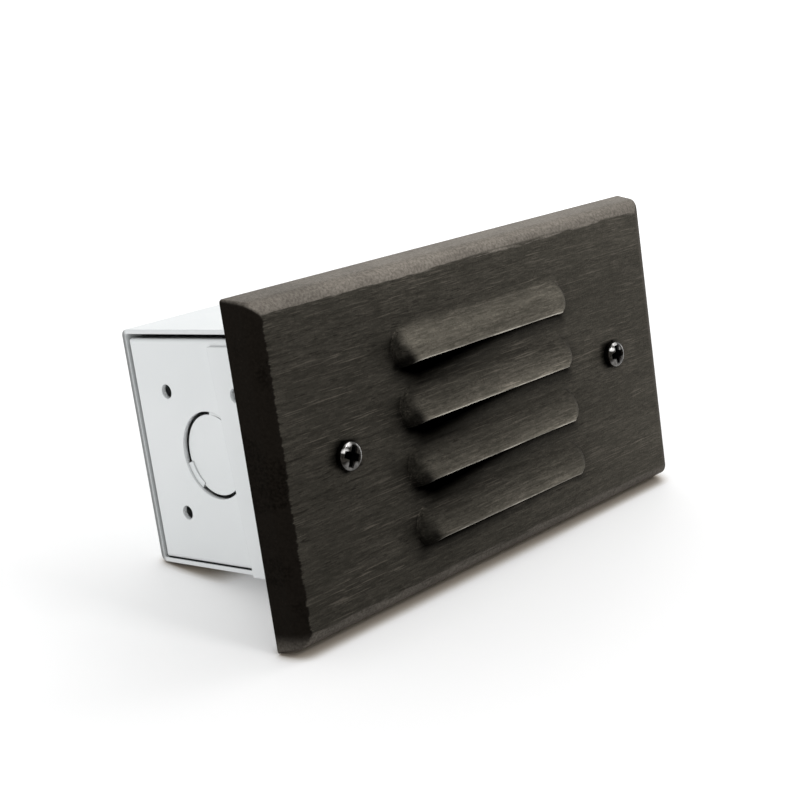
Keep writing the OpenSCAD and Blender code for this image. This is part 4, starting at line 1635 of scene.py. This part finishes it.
    def fixings(self) -> tuple[list[bpy.types.Object], list[bpy.types.Object]]:
        """Bosses behind the face for its screws and the lens clips', and the holes through them.

        Returns:
            The bosses and the holes.
        """
        foot = self.face_wall / 2 - self.depth
        bosses, holes = [], []
        for side in (-1, 1):
            at = (side * self.screw_x, 0.0, 0.0)
            screw_boss = [(self.screw_boss_r + 0.3 * MM, foot), (self.screw_boss_r, 0.0)]
            bosses.append(lathe("boss", screw_boss, at, 48))
            screw_hole = [(self.screw_hole_r, -self.depth - self.over), (self.screw_hole_r, self.over)]
            holes.append(lathe("hole", screw_hole, at, 48))
            for up in (-1, 1):
                at = (side * self.clip_x, 0.0, up * self.clip_z)
                clip_boss = [(self.clip_boss_r + 0.2 * MM, foot), (self.clip_boss_r, -self.clip_seat)]
                bosses.append(lathe("boss", clip_boss, at, 40))
                clip_hole = [(self.clip_hole_r, -self.clip_hole_end), (self.clip_hole_r, self.over)]
                holes.append(lathe("hole", clip_hole, at, 32))
        return bosses, holes

    def build(self) -> bpy.types.Object:
        """Builds the casting, cuts its hollows and holes, and dresses it.

        Returns:
            The finished faceplate, riding on the cover.
        """
        half_w, half_h = self.half_size()
        piece = self.block()
        outline = round_rect(half_w - self.rim, half_h - self.rim, self.cavity_r)
        cut(piece, prism("cavity", outline, self.face_wall - self.depth, self.over), Cut.REMOVE)
        bosses, holes = self.fixings()
        cut(piece, joined("bosses", bosses), Cut.ADD)
        cut(piece, joined("hollows", [self.hollow(lip) for lip in self.lips]), Cut.REMOVE)
        cut(piece, joined("holes", holes), Cut.REMOVE)
        mend(piece)
        self.mark(piece)
        smooth(paint(piece, BRONZE), 38.0)
        return settle(piece, "cover", "bronze", "faceplate")


@dataclass(frozen=True)
class Glint:
    """A highlight painted on a screw's head, in shares of its radius."""

    x: float
    z: float
    wide: float
    high: float
    strength: float = 1.0

    def at(self, x: float, z: float) -> float:
        """How bright the patch is at a place."""
        near = math.hypot((x - self.x) / self.wide, (z - self.z) / self.high)
        return self.strength * (1 - ease(near, 0.6, 1.25))


@dataclass(frozen=True)
class HighlightArc:
    """An arc of highlight painted round a screw's head, with its middle and fade in degrees."""

    middle: float
    fade: Pair
    strength: float
    ring: Pair = (0.76, 0.86)

    def at(self, x: float, z: float) -> float:
        """How bright the arc is at a place, in shares of the head's radius."""
        aside = abs(math.degrees(math.atan2(z, x)) - self.middle)
        return self.strength * ease(math.hypot(x, z), *self.ring) * (1 - ease(aside, *self.fade))


@dataclass(frozen=True)
class FaceplateScrew:
    """A faceplate screw with a domed cross-recessed head and a rolled thread."""

    name: str
    x: float
    turn: float
    seat: float = -8.0 * MM
    head_r: float = 3.5 * MM
    head_h: float = 2.2 * MM
    dome: tuple[Pair, ...] = (
        (1.0, 0.0), (1.0, 0.56), (0.992, 0.66), (0.965, 0.76), (0.92, 0.84), (0.86, 0.89), (0.81, 0.913),
        (0.75, 0.933), (0.67, 0.95), (0.58, 0.967), (0.42, 0.985), (0.22, 0.997), (0.02, 1.0),
    )
    edge: float = 0.09 * MM
    shank_r: float = 1.75 * MM
    root_r: float = 1.32 * MM
    foot_share: float = 0.93
    length: float = 25.4 * MM
    tip: float = 0.7 * MM
    tip_share: float = 0.7
    pitch: float = 0.794 * MM
    turn_points: int = 28
    thread_start: float = 0.6 * MM
    plain_tip: float = 1.4 * MM
    wing: float = 2.85 * MM
    wing_w: float = 0.8 * MM
    recess: float = 1.9 * MM
    taper: tuple[Pair, ...] = ((1.0, 0.0), (0.82, 0.5), (0.42, 1.0))
    crown_drop: float = 0.12
    pool_reach: float = 0.86
    pool_run: Pair = (0.1 * MM, 0.45 * MM)
    top_run: Pair = (0.62, 0.74)
    glints: tuple[Glint, ...] = (
        Glint(-0.18, 0.83, 0.28, 0.12),
        Glint(-0.6, 0.52, 0.3, 0.14),
        Glint(0.3, 0.42, 0.1, 0.2, strength=0.25),
    )
    arcs: tuple[HighlightArc, ...] = (
        HighlightArc(5.0, (38.0, 62.0), 0.55),
        HighlightArc(-105.0, (35.0, 60.0), 0.16, ring=(0.45, 0.6)),
        HighlightArc(80.0, (40.0, 60.0), 0.12),
    )

    def head(self) -> bpy.types.Object:
        """Domed head with rounded edges, turned about the screw's axis.

        Returns:
            The head, without its recess.
        """
        profile = [(self.shank_r * 0.6, 0.0)]
        profile += [(self.head_r * r, -self.head_h * y) for r, y in self.dome]
        return lathe(self.name, profile, (self.x, self.seat, 0.0), 72)

    def cross(self) -> bpy.types.Object:
        """Tapered four-winged tool that cuts the recess.

        Returns:
            The closed tool.
        """
        rings = []
        top = self.seat - self.head_h - 0.2 * MM
        for share, deep in self.taper:
            long = self.wing * share
            wide = self.wing_w * (0.55 + 0.45 * share)
            inner = wide * 1.25
            ring = []
            for quarter in range(4):
                angle = self.turn + quarter * math.pi / 2
                for along, across in ((long, -wide), (long, wide), (inner, inner)):
                    x = along * math.cos(angle) - across * math.sin(angle)
                    z = along * math.sin(angle) + across * math.cos(angle)
                    ring.append((self.x + x, top + self.recess * deep, z))
            rings.append(ring)
        return loft("cross", rings)

    def thread(self) -> bpy.types.Object:
        """Helical ridge round the shank's core, with a plain lead-in at the tip.

        Returns:
            The closed ridge.
        """
        count = int((self.length - self.plain_tip) / self.pitch) * self.turn_points
        foot = self.root_r * self.foot_share
        rings = []
        for k in range(count + 1):
            angle = 2 * math.pi * k / self.turn_points
            y = self.seat + self.thread_start + self.pitch * k / self.turn_points
            fade = min(1.0, (count - k) / self.turn_points, (k + 1) / self.turn_points)
            crest = self.root_r + (self.shank_r - self.root_r) * fade
            ring = []
            for r, along in ((foot, -0.42), (crest, -0.08), (crest, 0.08), (foot, 0.42)):
                ring.append((self.x + r * math.cos(angle), y + along * self.pitch, r * math.sin(angle)))
            rings.append(ring)
        return loft("thread", rings)

    def mark(self, head: bpy.types.Object) -> None:
        """Stores on each vertex of the head how much shade is painted in the recess and how much highlight on
        top.

        Args:
            head: The finished head.
        """
        pool = head.data.attributes.new("pool", "FLOAT", "POINT")
        painted_light = head.data.attributes.new("painted_light", "FLOAT", "POINT")
        for number, vertex in enumerate(head.data.vertices):
            x, z = (vertex.co.x - self.x) / self.head_r, vertex.co.z / self.head_r
            out = self.seat - vertex.co.y
            share = math.hypot(x, z)
            below = self.head_h * (1 - self.crown_drop * share**2) - out
            pool.data[number].value = ease(below, *self.pool_run) if share < self.pool_reach else 0.0
            bright = max(patch.at(x, z) for patch in (*self.glints, *self.arcs))
            painted_light.data[number].value = bright * ease(out / self.head_h, *self.top_run)

    def build(self) -> bpy.types.Object:
        """Builds the screw and dresses it.

        Returns:
            The screw, riding on its own body.
        """
        head = self.head()
        cut(head, self.cross(), Cut.REMOVE)
        soft = head.modifiers.new("soft_edges", "BEVEL")
        soft.width = self.edge
        soft.segments = 2
        soft.angle_limit = math.radians(35)
        apply_modifiers(head)
        mend(head)
        self.mark(head)
        core = [(self.root_r, -0.5 * MM), (self.root_r, self.length - self.tip)]
        core.append((self.root_r * self.tip_share, self.length))
        parts = [head, lathe("core", core, (self.x, self.seat, 0.0), 40), self.thread()]
        piece = smooth(paint(joined(f"{self.name}_detailed", parts), BLACK_SCREW), 35.0)
        return settle(piece, self.name.replace("faceplate_", ""), "bronze_screw", self.name)


# Inside the box


@dataclass(frozen=True)
class Wiring:
    """The two socket leads and their wire connectors."""

    lead_r: float = 1.3 * MM
    mouth_x: float = 27.0 * MM
    length: float = 18.0 * MM
    mouth_r: float = 5.0 * MM
    tip_r: float = 3.2 * MM
    axis_z: float = -24.6 * MM
    axis_y: Pair = (20.0 * MM, 38.0 * MM)
    shell: tuple[float, ...] = (4.0, 8.0, 12.0, 15.5, 17.0, 17.7, 18.0)
    tip_start: float = 16.0
    tip_reach: float = 2.4
    flutes: int = 12
    flute_points: int = 8
    flute_depth: float = 0.09
    flute_run: Pair = (3.0, 17.2)
    route_a: tuple[Point, ...] = (
        (-34, 26, 6), (-36, 26, 6), (-38, 26, 6), (-42.5, 26, 2), (-44.5, 26, -7), (-44, 24, -17),
        (-39, 22, -24.5), (-27, 20, -27.2), (-10, 18, -27.9), (8, 18.5, -27.6), (18, 20, -25.8),
        (25, 20, -24.6), (27, 20, -24.6), (29, 20, -24.6), (31, 20, -24.6),
    )
    route_b: tuple[Point, ...] = (
        (-34, 26, 2), (-36, 26, 2), (-38, 26.5, 1.5), (-41.5, 29, -3), (-42.5, 32, -11), (-40, 35, -19),
        (-34, 37, -25), (-22, 38, -27.6), (-4, 39, -28), (10, 38.5, -27.6), (18, 38, -25.8),
        (25, 38, -24.6), (27, 38, -24.6), (29, 38, -24.6), (31, 38, -24.6),
    )

    def lead(self, name: str, route: Sequence[Point]) -> bpy.types.Object:
        """Sleeved lead along its route.

        Args:
            name: CAD node of the lead.
            route: Points of its route in millimetres.

        Returns:
            The lead, riding on the housing.
        """
        path = spline([(x * MM, y * MM, z * MM) for x, y, z in route], 6)
        piece = tube(f"{name}_sleeve", path, self.lead_r, 20, Vector((0, 1, 0)))
        smooth(paint(piece, SLEEVE), 60.0)
        return settle(piece, "housing", "lead_sleeve", name)

    def shell_radius(self, x: float) -> float:
        """Radius of the tapered shell at a place in millimetres from the mouth, round at its tip.

        Args:
            x: Millimetres from the mouth.

        Returns:
            The radius in metres.
        """
        radius = between((self.mouth_r, self.tip_r), x * MM / self.length)
        past = max(x - self.tip_start, 0.0) / self.tip_reach
        return radius * math.sqrt(max(1 - past**2, 0.0))

    def connector(self, name: str, y: float) -> bpy.types.Object:
        """Fluted cone with a rolled mouth and a rounded tip.

        Args:
            name: CAD node of the connector.
            y: Place of its axis along Y.

        Returns:
            The connector, riding on the housing.
        """
        bore = self.lead_r + 0.1 * MM
        stations = [(8.0, bore), (0.4, bore), (0.0, bore + 0.3 * MM), (0.0, self.mouth_r - 0.4 * MM)]
        stations += [(0.4, self.mouth_r), (2.2, self.mouth_r), (2.8, self.mouth_r - 0.25 * MM)]
        stations += [(x, self.shell_radius(x)) for x in self.shell]
        sides = self.flutes * self.flute_points
        low, high = self.flute_run
        rings = []
        for x, r in stations:
            depth = self.flute_depth if low < x < high and r > bore * 1.1 else 0.0
            ring = []
            for k in range(sides):
                angle = 2 * math.pi * k / sides
                radius = r * (1 - depth * (0.5 - 0.5 * math.cos(self.flutes * angle)))
                along, up = radius * math.cos(angle), radius * math.sin(angle)
                ring.append((self.mouth_x + x * MM, y + along, self.axis_z + up))
            rings.append(ring)
        piece = smooth(paint(loft(f"{name}_fluted", rings), CONNECTOR), 50.0)
        return settle(piece, "housing", "connector_plastic", name)

    def build(self) -> None:
        """Builds both leads and both connectors."""
        self.lead("lead_a", self.route_a)
        self.lead("lead_b", self.route_b)
        self.connector("wire_connector_a", self.axis_y[0])
        self.connector("wire_connector_b", self.axis_y[1])


@dataclass(frozen=True)
class Filament:
    """The coiled filament of the lamp and its two legs."""

    wire_r: float = 0.13 * MM
    coil_r: float = 0.62 * MM
    turns: int = 9
    turn_points: int = 14
    leg_gap: float = 4.0 * MM

    def build(self) -> bpy.types.Object:
        """Coils the wire between the legs, inside the CAD filament's box.

        Returns:
            The filament, riding on the lamp.
        """
        low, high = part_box("lamp_filament")
        middle = (low + high) / 2
        coil_x = high.x - self.coil_r - self.wire_r
        foot_x = coil_x - self.coil_r * 2
        half = self.leg_gap / 2
        path = [Vector((x, middle.y, middle.z - half)) for x in (low.x, foot_x)]
        count = self.turns * self.turn_points
        for k in range(count + 1):
            angle = 2 * math.pi * k / self.turn_points
            x = coil_x - self.coil_r * math.cos(angle)
            y = middle.y + self.coil_r * math.sin(angle)
            path.append(Vector((x, y, middle.z - half + self.leg_gap * k / count)))
        path += [Vector((x, middle.y, middle.z + half)) for x in (foot_x, low.x)]
        piece = tube("filament_coil", path, self.wire_r, 8, Vector((0.31, 0.9, 0.3)))
        smooth(paint(piece, TUNGSTEN), 60.0)
        return settle(piece, "lamp", "tungsten", "lamp_filament")


@dataclass(frozen=True)
class SheetBox:
    """The painted sheet steel box and everything plain that it holds."""

    paint_edge: float = 0.22 * MM
    small_edge: float = 0.12 * MM

    def build(self) -> None:
        """Dresses the CAD nodes whose shapes are right."""
        dress_node("box_wrap", WRAP_PAINT, self.paint_edge)
        painted = ("end_panel_left", "end_panel_right", "ear_bracket_left", "ear_bracket_right")
        for node in (*painted, "ear_rivets_left", "ear_rivets_right", "bracket_rivets"):
            dress_node(node, WHITE_PAINT, self.paint_edge)
        for node in ("socket_bracket", "socket_screws", "socket_nuts", "lens_clip_left", "lens_clip_right"):
            dress_node(node, ZINC, self.small_edge)
        dress_node("lens_clip_screws", ZINC, self.small_edge / 2)
        dress_node("lamp_pins", ZINC, self.small_edge / 2)
        dress_node("lamp_socket", STEATITE, self.paint_edge * 2)
        dress_node("socket_contacts", PLAIN_BRASS, self.small_edge / 2)
        dress_node("glass_lens", FROSTED, self.paint_edge * 2)
        dress_node("lens_gasket", FOAM, self.small_edge)
        dress_node("lamp_capsule", QUARTZ, self.small_edge)


# The studio


@dataclass(frozen=True)
class Lamp:
    """A soft square lamp that shines at a point of the object."""

    name: str
    at: Point
    size: float
    watts: float
    tint: Colour = (1.0, 1.0, 1.0)
    aim: Point = (0.0, 0.02, 0.0)

    def build(self) -> None:
        """Hangs the lamp."""
        data = bpy.data.lights.new(self.name, "AREA")
        data.size = self.size
        data.energy = self.watts
        data.color = self.tint
        lamp = bpy.data.objects.new(self.name, data)
        lamp.location = self.at
        lamp.rotation_euler = (Vector(self.aim) - Vector(self.at)).to_track_quat("-Z", "Y").to_euler()
        bpy.context.scene.collection.objects.link(lamp)


@dataclass(frozen=True)
class Studio:
    """Camera, floor, world and lamps."""

    eye: Point = (-0.29633, -0.26391, 0.08225)
    forward: Point = (0.70254, 0.68297, -0.19999)
    upward: Point = (0.24258, 0.03436, 0.96952)
    focal_px: float = 1575.73
    image_px: float = 808.0
    sensor: float = 36.0
    floor_point: Point = (0.0, 0.0, -0.0413)
    floor_up: Point = (0.0, -0.169, 0.986)
    floor_size: float = 12.0
    floor_glow: float = 0.2
    glow_reach: Pair = (0.25, 0.9)
    contact_shadow: float = 4.5 * MM
    pale: Colour = (0.88, 0.88, 0.88)
    shade: Colour = (0.5, 0.44, 0.37)
    fill: float = 0.7

    def camera(self) -> None:
        """Sets the camera where the photograph was taken from."""
        data = bpy.data.cameras.new("camera")
        data.sensor_width = self.sensor
        data.lens = self.focal_px * self.sensor / self.image_px
        data.clip_start = 0.01
        data.clip_end = 50.0
        camera = bpy.data.objects.new("camera", data)
        back = -Vector(self.forward).normalized()
        right = Vector(self.upward).cross(back).normalized()
        up = back.cross(right)
        turn = Matrix((right, up, back)).transposed()
        camera.matrix_world = Matrix.Translation(self.eye) @ turn.to_4x4()
        bpy.context.scene.collection.objects.link(camera)
        bpy.context.scene.camera = camera

    def seen_rays(self, graph: Graph) -> Socket:
        """Gives 1 for camera, glossy and transmitted rays.

        Args:
            graph: The graph of the world or the floor.

        Returns:
            The mask.
        """
        path = graph.add("ShaderNodeLightPath").outputs
        both = graph.sum("ADD", path["Is Camera Ray"], path["Is Glossy Ray"], clamp=True)
        return graph.sum("ADD", both, path["Is Transmission Ray"], clamp=True)

    def world(self) -> None:
        """White to see, and a plain soft fill for matt surfaces."""
        world = bpy.data.worlds.new("studio")
        world.use_nodes = True
        world.node_tree.nodes.clear()
        graph = Graph(world.node_tree)
        strength = graph.spread(self.seen_rays(graph), 0.0, 1.0, self.fill, 1.0)
        glow = graph.add("ShaderNodeBackground", {"Color": (1.0, 1.0, 1.0, 1.0), "Strength": strength})
        out = graph.add("ShaderNodeOutputWorld")
        graph.feed(out.inputs[0], glow.outputs[0])
        bpy.context.scene.world = world

    def floor(self) -> None:
        """Lays the pale floor through the two edges that the object stands on, with a contact shadow painted
        near the object.
        """
        up = Vector(self.floor_up).normalized()
        side = Vector((1.0, 0.0, 0.0))
        ahead = up.cross(side)
        half = self.floor_size / 2
        corners = []
        for right, far in ((-1, -1), (1, -1), (1, 1), (-1, 1)):
            corners.append(tuple(Vector(self.floor_point) + half * (right * side + far * ahead)))
        floor = object_from("studio_floor", corners, [(0, 1, 2, 3)])
        material = bpy.data.materials.new("studio_floor")
        material.use_nodes = True
        material.node_tree.nodes.clear()
        graph = Graph(material.node_tree)
        # Painted contact shadow: near the object the floor's colour turns to the shade colour and its glow
        # dims.
        contact_shadow = graph.add("ShaderNodeAmbientOcclusion", {"Distance": self.contact_shadow}, samples=12)
        clear = graph.spread(contact_shadow.outputs["AO"], 0.3, 0.97)
        shader = graph.add("ShaderNodeBsdfPrincipled", {"Roughness": 0.9})
        graph.feed(shader.inputs["Base Color"], graph.mix(clear, self.shade, self.pale))
        shader.inputs["Specular IOR Level"].default_value = 0.0
        shader.inputs["Emission Color"].default_value = (1.0, 1.0, 1.0, 1.0)
        where = graph.add("ShaderNodeTexCoord").outputs["Object"]
        reach = graph.add("ShaderNodeVectorMath", {0: where}, operation="LENGTH").outputs["Value"]
        glow = graph.spread(reach, *self.glow_reach, self.floor_glow, 1.0)
        glow = graph.sum("MULTIPLY", glow, clear)
        graph.feed(shader.inputs["Emission Strength"], graph.sum("MULTIPLY", self.seen_rays(graph), glow))
        out = graph.add("ShaderNodeOutputMaterial")
        graph.feed(out.inputs[0], shader.outputs[0])
        floor.data.materials.append(material)

    def build(self) -> None:
        """Sets up the whole studio."""
        self.camera()
        self.world()
        self.floor()
        Lamp("over", (0.98, 0.78, 0.68), 0.9, 4.6).build()
        Lamp("high", (0.8, -0.15, 0.9), 0.6, 2.6).build()
        Lamp("left", (-0.95, -0.25, 0.3), 0.7, 1.12).build()
        Lamp("front", (0.15, -0.95, 0.62), 0.26, 2.4).build()
        bpy.context.scene.view_settings.view_transform = "Standard"


def main() -> None:
    """Builds the studio and every piece."""
    logging.basicConfig(level=logging.INFO, format="%(name)s: %(message)s")
    Studio().build()
    Faceplate().build()
    FaceplateScrew("faceplate_screw_left", -53.0 * MM, math.radians(-25.0)).build()
    FaceplateScrew("faceplate_screw_right", 53.0 * MM, math.radians(4.0)).build()
    Wiring().build()
    Filament().build()
    SheetBox().build()


if __name__ == "__main__":
    main()
